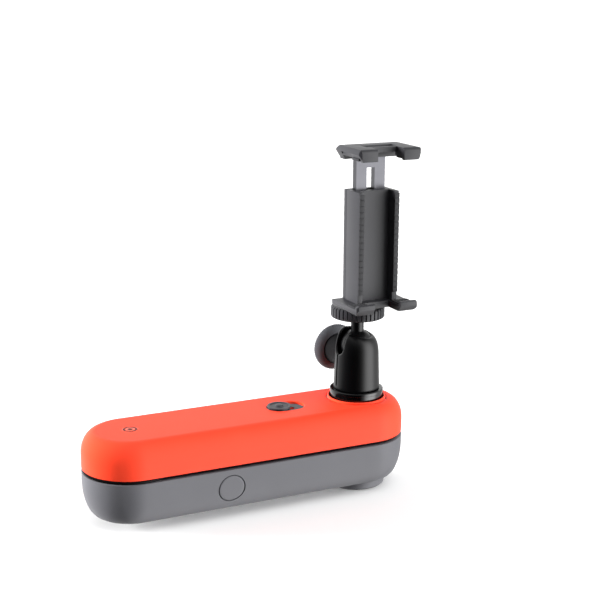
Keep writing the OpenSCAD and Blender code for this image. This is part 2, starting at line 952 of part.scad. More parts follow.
module head_ball() {
    color(black) translate([0, 0, ball_z]) difference() {
        sphere(ball_r);
        disc(far, ball_r - ball_flat, far);
        disc(stem_pin_r, ball_r - ball_flat - stem_pin_len, far);
    }
}

module head_stem() {
    seat = ball_z + ball_r - ball_flat;
    color(black) {
        disc(stem_pin_r, seat - stem_pin_len, stem_pin_len);
        disc(stem_r, seat, wheel_z - pass_gap - seat);
        disc(stem_flange_r, wheel_z - pass_gap - stem_flange_t, stem_flange_t);
        disc(stud_r, wheel_z - pass_gap, grip_z - pad_in - wheel_z + pass_gap);
    }
}

module lock_wheel() {
    color(dark) translate([0, 0, wheel_z]) linear_extrude(wheel_h) difference() {
        polygon(rib_points(wheel_ribs, wheel_r));
        circle(stud_r + run_fit);
    }
}

// Clamp

// The two fingers of a jaw, between two depths and two heights
module fingers(y0, y1, z0, z1, inset) {
    for (s = [0, 1]) mirror([s, 0, 0])
        block([finger_gap / 2 + inset, y0, z0], [jaw_w / 2 - inset, y1, z1]);
}

// A bar along one axis, turned so that it cuts a bevel of the given leg from an edge
module bevel_bar(leg, along) {
    side = sqrt(2) * leg;
    rotate(45 * along) cube([side, side, side] + (far - side) * along, center = true);
}

// Cuts the outer front corners of a jaw's fingers
module finger_corners() {
    for (s = [0, 1]) mirror([s, 0, 0])
        translate([jaw_w / 2, -jaw_reach, 0]) bevel_bar(finger_corner, [0, 0, 1]);
}

module clamp_base() {
    plate_top = grip_z - pad_in;
    half = sleeve_w / 2;
    color(dark) difference() {
        union() {
            disc(clamp_boss_r, clamp_z, plate_top - clamp_z);
            fingers(-jaw_reach, sleeve_back, jaw_z, plate_top, 0);
            fingers(-jaw_reach, -jaw_reach + lip_t, jaw_z, grip_z + lip_h, 0);
            block([-jaw_w / 2, -jaw_reach + finger_depth, jaw_z], [jaw_w / 2, sleeve_back, plate_top]);
            block([-half, sleeve_front, jaw_z], [half, cover_front, sleeve_top]);
            for (s = [0, 1]) mirror([s, 0, 0])
                block([half - rib_w, rib_front, jaw_z], [half, sleeve_front, sleeve_top]);
        }
        disc(stud_r + run_fit, 0, far);
        block([-tongue_w / 2 - pass_gap, tongue_y[0] - pass_gap, channel_floor],
              [tongue_w / 2 + pass_gap, far, far]);
        fingers(-jaw_reach + lip_t + pad_gap, rib_front - pad_back, grip_z - pad_t, far, pad_side);
        at_cover_screws() rod_y(cover_screw_r, sleeve_back - cover_screw_len, sleeve_back);
        finger_corners();
        translate([0, -jaw_reach, jaw_z]) bevel_bar(finger_bevel, [1, 0, 0]);
    }
}

// Places its children at the four screws of the spine's cover
module at_cover_screws() {
    for (s = [-1, 1], z = cover_screw_z) translate([s * cover_screw_x, 0, z]) children();
}

module spine_cover() {
    color(dark) difference() {
        block([-sleeve_w / 2, cover_front, grip_z - pad_in], [sleeve_w / 2, sleeve_back, sleeve_top]);
        at_cover_screws() {
            rod_y(cover_screw_r, -far, far);
            rod_y(cover_screw_head, sleeve_back - cover_head_h, far);
        }
    }
}

module spine_screws() {
    color(steel) at_cover_screws() {
        rod_y(cover_screw_r, sleeve_back - cover_screw_len, sleeve_back);
        rod_y(cover_screw_head, sleeve_back - cover_head_h, sleeve_back);
    }
}

module lower_pads() {
    color(rubber)
        fingers(-jaw_reach + lip_t + pad_gap, rib_front - pad_back, grip_z - pad_t, grip_z, pad_side);
}

module rib_pads() {
    color(rubber) for (s = [0, 1]) mirror([s, 0, 0])
        block([sleeve_w / 2 - rib_w, rib_front - rib_pad_t, rib_pad_z[0]],
              [sleeve_w / 2, rib_front, rib_pad_z[1]]);
}

module jaw_spring() {
    y = (tongue_y[0] + tongue_y[1]) / 2;
    color(steel) translate([0, y, 0])
        ring(spring_r - spring_wire, spring_r, channel_floor, anchor_z - spring_gap - channel_floor);
}

module upper_jaw() {
    plate_z = jaw_top - jaw_plate_t;
    pad_z = upper_grip_z + pad_t;
    color(dark) difference() {
        union() {
            fingers(-jaw_reach, finger_back, pad_z, jaw_top, 0);
            fingers(-jaw_reach, -jaw_reach + lip_t, upper_grip_z - upper_lip, jaw_top, 0);
            block([-jaw_w / 2, -jaw_reach + upper_finger_depth, plate_z], [jaw_w / 2, jaw_back, jaw_top]);
            jaw_block(plate_z);
        }
        translate([0, -jaw_reach + upper_finger_depth + window_in, 0])
            block([-window[0] / 2, 0, 0], [window[0] / 2, window[1], far]);
        block([-tongue_w / 2, tongue_y[0], 0], [tongue_w / 2, tongue_y[1], tongue_top]);
        translate([0, jaw_back, jaw_top]) bevel_bar(jaw_bevel, [1, 0, 0]);
        for (s = [0, 1]) mirror([s, 0, 0])
            translate([jaw_w / 2, 0, jaw_top]) bevel_bar(jaw_bevel, [0, 1, 0]);
        finger_corners();
    }
}

// The upper jaw's rear block, with its lower rear edge cut away
module jaw_block(top) {
    low = upper_grip_z - jaw_drop;
    rotate([90, 0, 90]) translate([0, 0, -jaw_w / 2]) linear_extrude(jaw_w) polygon([
        [jaw_block_front, low], [jaw_back - jaw_chamfer / 2, low], [jaw_back, low + 2 * jaw_chamfer],
        [jaw_back, top], [jaw_block_front, top]
    ]);
}

module jaw_tongue() {
    half = tongue_slot / 2;
    color(steel) difference() {
        block([-tongue_w / 2, tongue_y[0], tongue_foot], [tongue_w / 2, tongue_y[1], tongue_top]);
        block([-half, -far, tongue_foot - 1], [half, far, anchor_z]);
        block([-half, -far, anchor_z + anchor_h], [half, far, upper_grip_z - tongue_bridge]);
    }
}

module upper_pads() {
    color(rubber) fingers(-jaw_reach + lip_t + pad_gap, finger_back - pad_back,
                          upper_grip_z, upper_grip_z + pad_t, pad_side);
}

foot();
foot_pad();
thread_insert();
foot_spindle();
foot_pulley();
drive_gear();
foot_clip();
lower_case();
lower_lid();
lower_screws();
foot_bearing();
elbow_bush();
elbow_post();
elbow_fixed_pulley();
elbow_ring();
lower_belt();
gear_motor();
main_board();
usb_socket();
button_switch();
drive_pinion();
side_button();
button_plunger();
upper_case();
upper_base();
upper_screws();
elbow_shaft();
elbow_drive_pulley();
elbow_bearing();
head_bearing();
upper_belt();
battery();
control_board();
slide_switch_body();
status_light();
slide_button();
slide_carrier();
head_spindle();
head_pulley();
head_clip();
turret_ring();
head_base();
pan_bolt();
head_housing();
ball_cup();
knob_hub();
knob_rim();
knob_screw();
head_ball();
head_stem();
lock_wheel();
clamp_base();
spine_cover();
spine_screws();
lower_pads();
rib_pads();
jaw_spring();
upper_jaw();
jaw_tongue();
upper_pads();
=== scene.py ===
"""Looks of a folding two-arm camera slider with a ball head and a phone clamp.

Each piece is a mesh built here, in millimetres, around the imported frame, and rides on one of its bodies.
Materials are procedural. The last part sets the floor, the lights and the camera.
"""
import json
import math

import bmesh
import bpy
from mathutils import Matrix, Vector


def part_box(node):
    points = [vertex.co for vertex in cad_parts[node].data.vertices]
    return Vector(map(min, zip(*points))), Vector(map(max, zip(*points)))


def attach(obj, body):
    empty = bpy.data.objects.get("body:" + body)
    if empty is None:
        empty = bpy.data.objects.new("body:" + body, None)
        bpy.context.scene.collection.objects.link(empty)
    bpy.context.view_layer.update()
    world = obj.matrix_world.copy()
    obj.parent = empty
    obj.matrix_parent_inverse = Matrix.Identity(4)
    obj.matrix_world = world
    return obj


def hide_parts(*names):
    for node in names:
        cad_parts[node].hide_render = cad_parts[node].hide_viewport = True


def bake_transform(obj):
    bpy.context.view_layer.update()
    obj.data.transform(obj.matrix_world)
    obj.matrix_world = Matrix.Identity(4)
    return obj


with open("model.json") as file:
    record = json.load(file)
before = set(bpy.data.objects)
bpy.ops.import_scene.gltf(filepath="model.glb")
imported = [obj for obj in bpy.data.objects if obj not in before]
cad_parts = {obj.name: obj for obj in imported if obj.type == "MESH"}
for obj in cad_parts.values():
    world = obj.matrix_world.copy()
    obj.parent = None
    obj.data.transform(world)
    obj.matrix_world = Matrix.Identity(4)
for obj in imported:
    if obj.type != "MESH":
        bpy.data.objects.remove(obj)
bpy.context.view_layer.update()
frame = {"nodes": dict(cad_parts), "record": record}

MM = 0.001
X, Y, Z = range(3)


def span(node):
    """Lowest and highest corner of a CAD node, in millimetres."""
    low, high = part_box(node)
    return [v / MM for v in low], [v / MM for v in high]


# Sizes read from the frame
lower_low, lower_high = span("lower_case")
upper_low, upper_high = span("upper_case")
ARM_R = upper_high[Y]
ELBOW_X = upper_low[X] + ARM_R
LOWER_Z = lower_low[Z]
LOWER_TOP = lower_high[Z]
UPPER_Z = upper_low[Z]
UPPER_TOP = upper_high[Z]
BUTTON_LOW, BUTTON_HIGH = span("side_button")
BUTTON_X = (BUTTON_LOW[X] + BUTTON_HIGH[X]) / 2
BUTTON_Z = (BUTTON_LOW[Z] + BUTTON_HIGH[Z]) / 2
BUTTON_R = (BUTTON_HIGH[Z] - BUTTON_LOW[Z]) / 2
USB_LOW, USB_HIGH = span("usb_socket")
USB_X = (USB_LOW[X] + USB_HIGH[X]) / 2
USB_Z = (USB_LOW[Z] + USB_HIGH[Z]) / 2
USB_R = (USB_HIGH[Z] - USB_LOW[Z]) / 2
USB_HALF = (USB_HIGH[X] - USB_LOW[X]) / 2 - USB_R
SLIDE_LOW, SLIDE_HIGH = span("slide_button")
SLIDE_X = (SLIDE_LOW[X] + SLIDE_HIGH[X]) / 2
LIGHT_R = span("status_light")[1][Y]
TURRET_LOW, TURRET_HIGH = span("turret_ring")
BASE_LOW, BASE_HIGH = span("head_base")
HOUSING_LOW, HOUSING_HIGH = span("head_housing")
BALL_LOW, BALL_HIGH = span("head_ball")
BALL_R = BALL_HIGH[X]
BALL_Z = BALL_LOW[Z] + BALL_R
KNOB_LOW, KNOB_HIGH = span("knob_rim")
KNOB_R = (KNOB_HIGH[Z] - KNOB_LOW[Z]) / 2
KNOB_Z = (KNOB_HIGH[Z] + KNOB_LOW[Z]) / 2
STEM_TOP = span("head_stem")[1][Z]
WHEEL_LOW, WHEEL_HIGH = span("lock_wheel")
CLAMP_LOW, CLAMP_HIGH = span("clamp_base")
COVER_LOW, COVER_HIGH = span("spine_cover")
JAW_LOW, JAW_HIGH = span("upper_jaw")
LOWER_PAD_LOW, LOWER_PAD_HIGH = span("lower_pads")
UPPER_PAD_LOW, UPPER_PAD_HIGH = span("upper_pads")
RIB_PAD_LOW, RIB_PAD_HIGH = span("rib_pads")
FOOT_LOW, FOOT_HIGH = span("foot")
PAD_R = span("foot_pad")[1][X]
RING_LOW, RING_HIGH = span("elbow_ring")


# Mesh helpers

def arc(cx, cy, rx, ry, start, end, steps):
    """Points along an elliptical arc, angles in degrees."""
    angles = [math.radians(start + (end - start) * i / steps) for i in range(steps + 1)]
    return [(cx + rx * math.cos(a), cy + ry * math.sin(a)) for a in angles]


def rounded(corners, closed=True, steps=5):
    """Turns corners (a, b, radius) of a flat outline into short arcs."""
    points = []
    count = len(corners)
    for i, (a, b, radius) in enumerate(corners):
        here = Vector((a, b))
        inside = closed or 0 < i < count - 1
        if radius <= 0 or not inside:
            points.append((a, b))
            continue
        back = Vector(corners[i - 1][:2]) - here
        ahead = Vector(corners[(i + 1) % count][:2]) - here
        half = back.angle(ahead) / 2
        reach = min(radius / math.tan(half), 0.49 * back.length, 0.49 * ahead.length)
        first = here + back.normalized() * reach
        last = here + ahead.normalized() * reach
        weight = math.sin(half)
        for k in range(steps + 1):
            t = k / steps
            parts = ((1 - t) ** 2, 2 * t * (1 - t) * weight, t * t)
            spot = (first * parts[0] + here * parts[1] + last * parts[2]) / sum(parts)
            points.append((spot.x, spot.y))
    return points


def circle(r, z, count=96, x=0.0):
    """A level ring of points round a vertical line."""
    if r <= 0:
        return [(x, 0.0, z)]
    angles = [2 * math.pi * i / count for i in range(count)]
    return [(x + r * math.cos(a), r * math.sin(a), z) for a in angles]


def oval(x0, x1, r, z, ends=40, sides=30):
    """A level ring of points with two round ends and two straight sides along X."""
    points = []
    for i in range(ends):
        a = math.radians(-90 + 180 * i / ends)
        points.append((x1 + r * math.cos(a), r * math.sin(a), z))
    for i in range(sides):
        points.append((x1 + (x0 - x1) * i / sides, r, z))
    for i in range(ends):
        a = math.radians(90 + 180 * i / ends)
        points.append((x0 + r * math.cos(a), r * math.sin(a), z))
    for i in range(sides):
        points.append((x0 + (x1 - x0) * i / sides, -r, z))
    return points


class Mesh:
    """Collects rings and faces in millimetres."""

    def __init__(self):
        self.bm = bmesh.new()

    def ring(self, points):
        return [self.bm.verts.new(p) for p in points]

    def skin(self, a, b):
        """Joins two rings of as many points, or a ring and a single point."""
        count = max(len(a), len(b))
        for i in range(count):
            j = (i + 1) % count
            corners = [a[i % len(a)], a[j % len(a)], b[j % len(b)], b[i % len(b)]]
            corners = [v for k, v in enumerate(corners) if v not in corners[:k]]
            if len(corners) > 2:
                self.bm.faces.new(corners)

    def stack(self, levels, loop=False):
        """Joins a list of rings of points in order and returns their vertices."""
        rings = [self.ring(points) for points in levels]
        for a, b in zip(rings, rings[1:]):
            self.skin(a, b)
        if loop:
            self.skin(rings[-1], rings[0])
        return rings

    def cap(self, ring):
        self.bm.faces.new(ring)

    def solid(self, levels):
        """Joins a list of rings of points in order and closes both ends."""
        rings = self.stack(levels)
        self.cap(rings[0])
        self.cap(rings[-1])
        return self

    def fill(self, *loops):
        """A flat sheet between an outer loop and the holes in it."""
        edges = []
        for loop in loops:
            for a, b in zip(loop, loop[1:] + loop[:1]):
                edges.append(self.bm.edges.get((a, b)) or self.bm.edges.new((a, b)))
        bmesh.ops.triangle_fill(self.bm, use_beauty=True, use_dissolve=False, edges=edges)


def lathe(profile, count=96, loop=True):
    """A shape turned about Z from (radius, height) points."""
    mesh = Mesh()
    mesh.stack([circle(r, z, count) for r, z in profile], loop)
    return mesh


def slab(low, high):
    """A plain block, the start of a bevelled or cut piece."""
    x0, y0, z0 = low
    x1, y1, z1 = high
    corners = [(x0, y0), (x1, y0), (x1, y1), (x0, y1)]
    return Mesh().solid([[(x, y, z) for x, y in corners] for z in (z0, z1)])


def prism_x(outline, x0, x1):
    """A flat (y, z) outline drawn out along X."""
    return Mesh().solid([[(x, y, z) for y, z in outline] for x in (x0, x1)])


def prism_y(outline, y0, y1):
    """A flat (x, z) outline drawn out along Y."""
    mesh = prism_x(outline, -y1, -y0)
    bmesh.ops.rotate(mesh.bm, matrix=Matrix.Rotation(-math.pi / 2, 3, "Z"), verts=mesh.bm.verts)
    return mesh


def mirrored(mesh):
    """A copy of a mesh on the other side of X = 0."""
    other = Mesh()
    other.bm = mesh.bm.copy()
    bmesh.ops.scale(other.bm, vec=(-1, 1, 1), verts=other.bm.verts)
    return other


def moved(mesh, offset):
    bmesh.ops.translate(mesh.bm, vec=offset, verts=mesh.bm.verts)
    return mesh


def turned(mesh, way):
    bmesh.ops.transform(mesh.bm, matrix=way, verts=mesh.bm.verts)
    return mesh


def loose_object(mesh):
    """A short-lived object for a boolean."""
    bmesh.ops.recalc_face_normals(mesh.bm, faces=mesh.bm.faces)
    data = bpy.data.meshes.new("loose")
    mesh.bm.to_mesh(data)
    mesh.bm.free()
    obj = bpy.data.objects.new("loose", data)
    bpy.context.scene.collection.objects.link(obj)
    return obj


def combined(base, joins=(), cuts=()):
    """Joins meshes to a base and cuts others from it."""
    target = loose_object(base)
    tools = []
    for operation, meshes in (("UNION", joins), ("DIFFERENCE", cuts)):
        for mesh in meshes:
            tool = loose_object(mesh)
            step = target.modifiers.new("step", "BOOLEAN")
            step.solver = "EXACT"
            step.operation = operation
            step.object = tool
            tools.append(tool)
    depsgraph = bpy.context.evaluated_depsgraph_get()
    data = bpy.data.meshes.new_from_object(target.evaluated_get(depsgraph))
    result = Mesh()
    result.bm.from_mesh(data)
    bpy.data.meshes.remove(data)
    for obj in [target] + tools:
        data = obj.data
        bpy.data.objects.remove(obj)
        bpy.data.meshes.remove(data)
    return result


def add(a, b):
    """Adds the faces of a second mesh to a first."""
    data = bpy.data.meshes.new("loose")
    b.bm.to_mesh(data)
    b.bm.free()
    a.bm.from_mesh(data)
    bpy.data.meshes.remove(data)


def bevelled(mesh, width, steps=3, over=25):
    """Rounds every edge that turns by more than an angle in degrees."""
    bm = mesh.bm
    bmesh.ops.remove_doubles(bm, verts=bm.verts, dist=1e-3)
    bmesh.ops.dissolve_limit(bm, angle_limit=math.radians(1), verts=bm.verts, edges=bm.edges)
    bmesh.ops.recalc_face_normals(bm, faces=bm.faces)
    turns = math.radians(over)
    edges = [e for e in bm.edges if len(e.link_faces) == 2 and e.calc_face_angle(0) > turns]
    bmesh.ops.bevel(bm, geom=edges, offset=width, segments=steps, profile=0.5, affect="EDGES",
                    clamp_overlap=True)
    return mesh


# Ways for a shape made about Z to face
UP = Matrix.Identity(4)
DOWN = Matrix.Rotation(math.pi, 4, "X")
BACK = Matrix(((1, 0, 0, 0), (0, 0, 1, 0), (0, -1, 0, 0), (0, 0, 0, 1)))

MATERIALS = {}


def dress(mesh, name, slot, stands_for=(), material=None, sharp=32):
    """Makes an object in metres with the finish of its slot, or with another finish of the same kind."""
    bm = mesh.bm
    bmesh.ops.remove_doubles(bm, verts=bm.verts, dist=1e-4)
    bmesh.ops.recalc_face_normals(bm, faces=bm.faces)
    bmesh.ops.scale(bm, vec=(MM, MM, MM), verts=bm.verts)
    data = bpy.data.meshes.new(name)
    bm.to_mesh(data)
    bm.free()
    data.shade_smooth()
    data.set_sharp_from_angle(angle=math.radians(sharp))
    data.materials.append(MATERIALS[material or slot])
    obj = bpy.data.objects.new(name, data)
    bpy.context.scene.collection.objects.link(obj)
    if stands_for:
        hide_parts(*stands_for)
    return obj


def place(mesh, name, body, slot, stands_for=(), **look):
    """Makes an object that rides on a body."""
    obj = dress(mesh, name, slot, stands_for, **look)
    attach(obj, body)
    return obj


# Materials

def srgb(red, green, blue):
    """A display colour, 0 to 255, as a linear one."""
    def linear(v):
        v /= 255
        return v / 12.92 if v <= 0.04045 else ((v + 0.055) / 1.055) ** 2.4
    return (linear(red), linear(green), linear(blue), 1.0)


RELIEF = 0.35
TONE_STOPS = (0.3, 0.7)
TOOL_MARKS = 900


def finish(name, colour, rough, shift=0.06, grain=2500, depth=0.02, cloud=60, rough_shift=0.06,
           specular=0.5, metallic=0.0):
    """A surface with slow colour changes, a fine grain in its relief and an uneven gloss."""
    material = bpy.data.materials.new(name)
    MATERIALS[name] = material
    material.use_nodes = True
    nodes = material.node_tree.nodes
    links = material.node_tree.links
    shader = nodes["Principled BSDF"]
    shader.inputs["Specular IOR Level"].default_value = specular
    shader.inputs["Metallic"].default_value = metallic
    where = nodes.new("ShaderNodeTexCoord")

    def noise(scale, detail):
        node = nodes.new("ShaderNodeTexNoise")
        node.inputs["Scale"].default_value = scale
        node.inputs["Detail"].default_value = detail
        links.new(where.outputs["Object"], node.inputs["Vector"])
        return node.outputs["Fac"]

    tones = nodes.new("ShaderNodeValToRGB")
    for stop, position, change in zip(tones.color_ramp.elements, TONE_STOPS, (1 - shift, 1 + shift)):
        stop.position = position
        stop.color = [min(1, c * change) for c in colour[:3]] + [1]
    links.new(noise(cloud, 3), tones.inputs["Fac"])
    links.new(tones.outputs["Color"], shader.inputs["Base Color"])

    gloss = nodes.new("ShaderNodeMapRange")
    gloss.inputs["To Min"].default_value = max(0.02, rough - rough_shift)
    gloss.inputs["To Max"].default_value = min(1, rough + rough_shift)
    fine = noise(grain, 2)
    links.new(fine, gloss.inputs["Value"])
    links.new(gloss.outputs["Result"], shader.inputs["Roughness"])

    relief = nodes.new("ShaderNodeBump")
    relief.inputs["Strength"].default_value = RELIEF
    relief.inputs["Distance"].default_value = depth * MM
    links.new(fine, relief.inputs["Height"])
    links.new(relief.outputs["Normal"], shader.inputs["Normal"])
    return material


def turned_metal(name, colour, rough):
    """Metal with fine tool marks that run round the vertical axis."""
    material = finish(name, colour, rough, shift=0.08, grain=TOOL_MARKS, depth=0.01, metallic=1.0)
    nodes = material.node_tree.nodes
    links = material.node_tree.links
    where = nodes.new("ShaderNodeTexCoord")
    wave = nodes.new("ShaderNodeTexWave")
    wave.bands_direction = "Z"
    wave.inputs["Scale"].default_value = TOOL_MARKS
    wave.inputs["Distortion"].default_value = 1.5
    links.new(where.outputs["Object"], wave.inputs["Vector"])
    links.new(wave.outputs["Fac"], nodes["Bump"].inputs["Height"])


# The record's slots
finish("orange_shell", srgb(236, 66, 41), 0.46, shift=0.025, depth=0.012, specular=0.18)
finish("grey_shell", srgb(89, 89, 93), 0.48, shift=0.03, depth=0.014, specular=0.28)
finish("dark_plastic", srgb(44, 44, 47), 0.42, shift=0.07, depth=0.012, specular=0.38)
# Near black with little gloss: partly the elbow ring's own black, partly painted shade that stands for the
# shade in the seam between the arms
finish("black_ring", srgb(5, 5, 5), 0.5, shift=0.1, depth=0.01, specular=0.15)
finish("black_metal", srgb(5, 5, 6), 0.32, shift=0.1, grain=3500, depth=0.002, rough_shift=0.03,
       specular=0.45)
finish("gloss_black", srgb(5, 5, 6), 0.13, shift=0.1, depth=0.002, rough_shift=0.03, specular=0.85)
finish("rubber", srgb(46, 46, 48), 0.78, shift=0.12, grain=1800, depth=0.04)
turned_metal("steel", srgb(92, 92, 96), 0.3)
turned_metal("aluminium", srgb(214, 214, 217), 0.34)
turned_metal("brass", srgb(205, 168, 98), 0.3)
finish("circuit_board", srgb(28, 92, 52), 0.4, shift=0.3, cloud=400, depth=0.01)
finish("battery_wrap", srgb(84, 108, 132), 0.35, shift=0.05, depth=0.01)
finish("light_lens", srgb(214, 78, 50), 0.22, shift=0.05, depth=0.004)

# Finishes of single pieces
finish("knob_rubber", srgb(70, 71, 75), 0.6, grain=1800, depth=0.04)
finish("boss_black", srgb(22, 22, 23), 0.5, depth=0.006, specular=0.12)
finish("icon_ink", srgb(84, 30, 25), 0.5, shift=0.08, depth=0.006, specular=0.1)
finish("slot_plate", srgb(50, 50, 54), 0.4, depth=0.015)

# Every CAD node takes the finish of its record slot; the dressed pieces then stand for the outer ones
for entry in frame["record"]["subparts"]:
    node = frame["nodes"][entry["node"]]
    node.data.materials.clear()
    node.data.materials.append(MATERIALS[entry["material_slot"]])


# Arms

WALL = 2.0
FLANK_INSET = 7.4
FLANK_RISE = 17.5
TOP_FLAT_R = 16.4
TOP_ROUND = 10.5
SEAM_EDGE = 0.45
SEAM_LIFT = 0.35
RIM_EDGE = 0.3
# A narrow level band beside a rounded edge keeps the shading of the flat face even
SUPPORT = 0.15
TURRET_HOLE_R = TURRET_HIGH[X] + 0.45
HOLE_EDGE = 0.25
SPINDLE_HOLE_R = 10.2
SLIDE_TRAVEL = 7.0
RECESS_R = SLIDE_HIGH[Y] + 0.3
RECESS_EDGE = 0.4
RECESS_DEPTH = 1.6
RECESS_T = 1.6
CARRIER_HALF = 1.5
PLATE_T = 0.15
LIGHT_HOLE_R = LIGHT_R + 0.05
LIGHT_EDGE = 0.12
LIGHT_DEPTH = 1.0
LIGHT_MARKS = (("light_outer_ring", 2.55, 3.45), ("light_centre_dot", 0, 1.25))
BUTTON_GAP = 0.22
ELBOW_RING_BORE = 8.0


def flank_r(z):
    """Half width of the lower case at a height."""
    share = min(1, max(0, (z - LOWER_Z) / FLANK_RISE))
    return ARM_R - FLANK_INSET * (1 - math.sqrt(1 - (1 - share) ** 2))


def hole_profile(r, top, edge):
    """The rounded mouth of a hole in a level face, from outside in."""
    mouth = arc(r + edge, top - edge, edge, edge, 90, 180, 4)
    return [(r + edge + SUPPORT, top)] + mouth


def long_hole(profile):
    """Rings round the slide switch's travel from (radius, height) points."""
    return [oval(SLIDE_X, SLIDE_X + SLIDE_TRAVEL, r, z, 24, 6) for r, z in profile]


def upper_shell():
    low = UPPER_Z + SEAM_LIFT
    roof = UPPER_TOP - WALL
    side_z = UPPER_TOP - TOP_ROUND
    inner_r = ARM_R - WALL
    profile = [(TOP_FLAT_R - SUPPORT, UPPER_TOP)]
    profile += arc(TOP_FLAT_R, side_z, ARM_R - TOP_FLAT_R, TOP_ROUND, 90, 0, 18)
    profile += arc(ARM_R - SEAM_EDGE, low + SEAM_EDGE, SEAM_EDGE, SEAM_EDGE, 0, -90, 5)
    profile += [(inner_r, low), (inner_r, side_z)]
    profile += arc(TOP_FLAT_R, side_z, inner_r - TOP_FLAT_R, TOP_ROUND - WALL, 0, 90, 12)[1:]
    mesh = Mesh()
    shell = mesh.stack([oval(ELBOW_X, 0, r, z) for r, z in profile])

    turret = hole_profile(TURRET_HOLE_R, UPPER_TOP, HOLE_EDGE) + [(TURRET_HOLE_R, roof)]
    turret = mesh.stack([circle(r, z, 120) for r, z in turret])

    recess = UPPER_TOP - RECESS_DEPTH
    under = recess - RECESS_T
    slide = hole_profile(RECESS_R, UPPER_TOP, RECESS_EDGE)
    slide += [(RECESS_R, recess), (CARRIER_HALF, recess), (CARRIER_HALF, under)]
    slide += [(RECESS_R + WALL, under), (RECESS_R + WALL, roof)]
    slide = mesh.stack(long_hole(slide))

    light = hole_profile(LIGHT_HOLE_R, UPPER_TOP, LIGHT_EDGE) + [(LIGHT_HOLE_R, UPPER_TOP - LIGHT_DEPTH)]
    light = mesh.stack([circle(r, z, 64, ELBOW_X) for r, z in light])
    mesh.cap(light[-1])
    mesh.fill(shell[0], turret[0], slide[0], light[0])
    mesh.fill(shell[-1], turret[-1], slide[-1])
    top = place(mesh, "orange_top_shell", "upper_arm", "orange_shell", ["upper_case"])
    # Keeps the head's reflections black
    top.visible_glossy = False

    outer = RECESS_R - 0.05
    inner = CARRIER_HALF + 0.1
    face = recess + PLATE_T
    plate = Mesh()
    plate.stack(long_hole([(outer, recess), (outer, face), (inner, face), (inner, recess)]), True)
    place(plate, "slide_recess_plate", "upper_arm", "dark_plastic", material="slot_plate")


def on_flank(x, z, r, inset, count=72):
    """A ring round a line along Y whose points lie a little inside the lower case's front flank."""
    points = []
    for i in range(count):
        a = 2 * math.pi * i / count
        height = z + r * math.sin(a)
        points.append((x + r * math.cos(a), -flank_r(height) + inset, height))
    return points


def flank_plug(x, z, levels):
    """A solid along Y whose outer end follows the front flank, from (radius, inset) levels."""
    mesh = Mesh()
    rings = mesh.stack([on_flank(x, z, r, inset) for r, inset in levels])
    centre = mesh.ring([(x, -flank_r(z) + levels[0][1], z)])
    mesh.skin(rings[0], centre)
    mesh.cap(rings[-1])
    return mesh


def usb_mouth():
    """A cutter for the charging socket's mouth, flared towards the back."""
    flares = ((0, -6), (0, -0.5), (0.15, -0.2), (0.5, 0.1), (0.8, 1))
    slot_r = USB_R + 0.3
    slot = Mesh().solid([oval(-USB_HALF, USB_HALF, slot_r + flare, depth, 16, 4) for flare, depth in flares])
    return moved(turned(slot, BACK), (USB_X, ARM_R, USB_Z))


def lower_shell():
    bottom_r = ARM_R - FLANK_INSET
    rise = LOWER_Z + FLANK_RISE
    inner_r = ARM_R - WALL
    profile = [(bottom_r - SUPPORT, LOWER_Z)]
    profile += arc(bottom_r, rise, FLANK_INSET, FLANK_RISE, -90, 0, 22)
    profile += arc(ARM_R - RIM_EDGE, LOWER_TOP - RIM_EDGE, RIM_EDGE, RIM_EDGE, 0, 90, 5)
    profile += [(inner_r, LOWER_TOP), (inner_r, rise)]
    profile += arc(bottom_r, rise, FLANK_INSET - WALL, FLANK_RISE - WALL, 0, -90, 12)[1:]
    mesh = Mesh()
    shell = mesh.stack([oval(ELBOW_X, 0, r, z) for r, z in profile])
    hole = mesh.stack([circle(SPINDLE_HOLE_R, z) for z in (LOWER_Z, LOWER_Z + WALL)])
    mesh.fill(shell[0], hole[0])
    mesh.fill(shell[-1], hole[-1])

    r = BUTTON_R + BUTTON_GAP
    mouth = [(r + 0.6, -1), (r + 0.32, -0.1), (r + 0.1, 0.12), (r, 0.4), (r, 5)]
    mesh = combined(mesh, cuts=[flank_plug(BUTTON_X, BUTTON_Z, mouth), usb_mouth()])
    place(mesh, "grey_lower_shell", "lower_arm", "grey_shell", ["lower_case"])


def flank_details():
    r = BUTTON_R
    face = [(r * k / 6, 0.06) for k in range(1, 6)]
    edge = [(r - 0.45, 0.07), (r - 0.22, 0.12), (r - 0.07, 0.26), (r, 0.5), (r, 4.6)]
    button = flank_plug(BUTTON_X, BUTTON_Z, face + edge)
    place(button, "round_side_button", "side_button", "grey_shell", ["side_button"])

    half = USB_HALF + 0.7
    tongue = bevelled(slab((-half, -5.2, -0.35), (half, 0, 0.35)), 0.12, 2)
    moved(tongue, (USB_X, USB_HIGH[Y] - 0.9, USB_Z))
    place(tongue, "usb_tongue", "lower_arm", "dark_plastic")


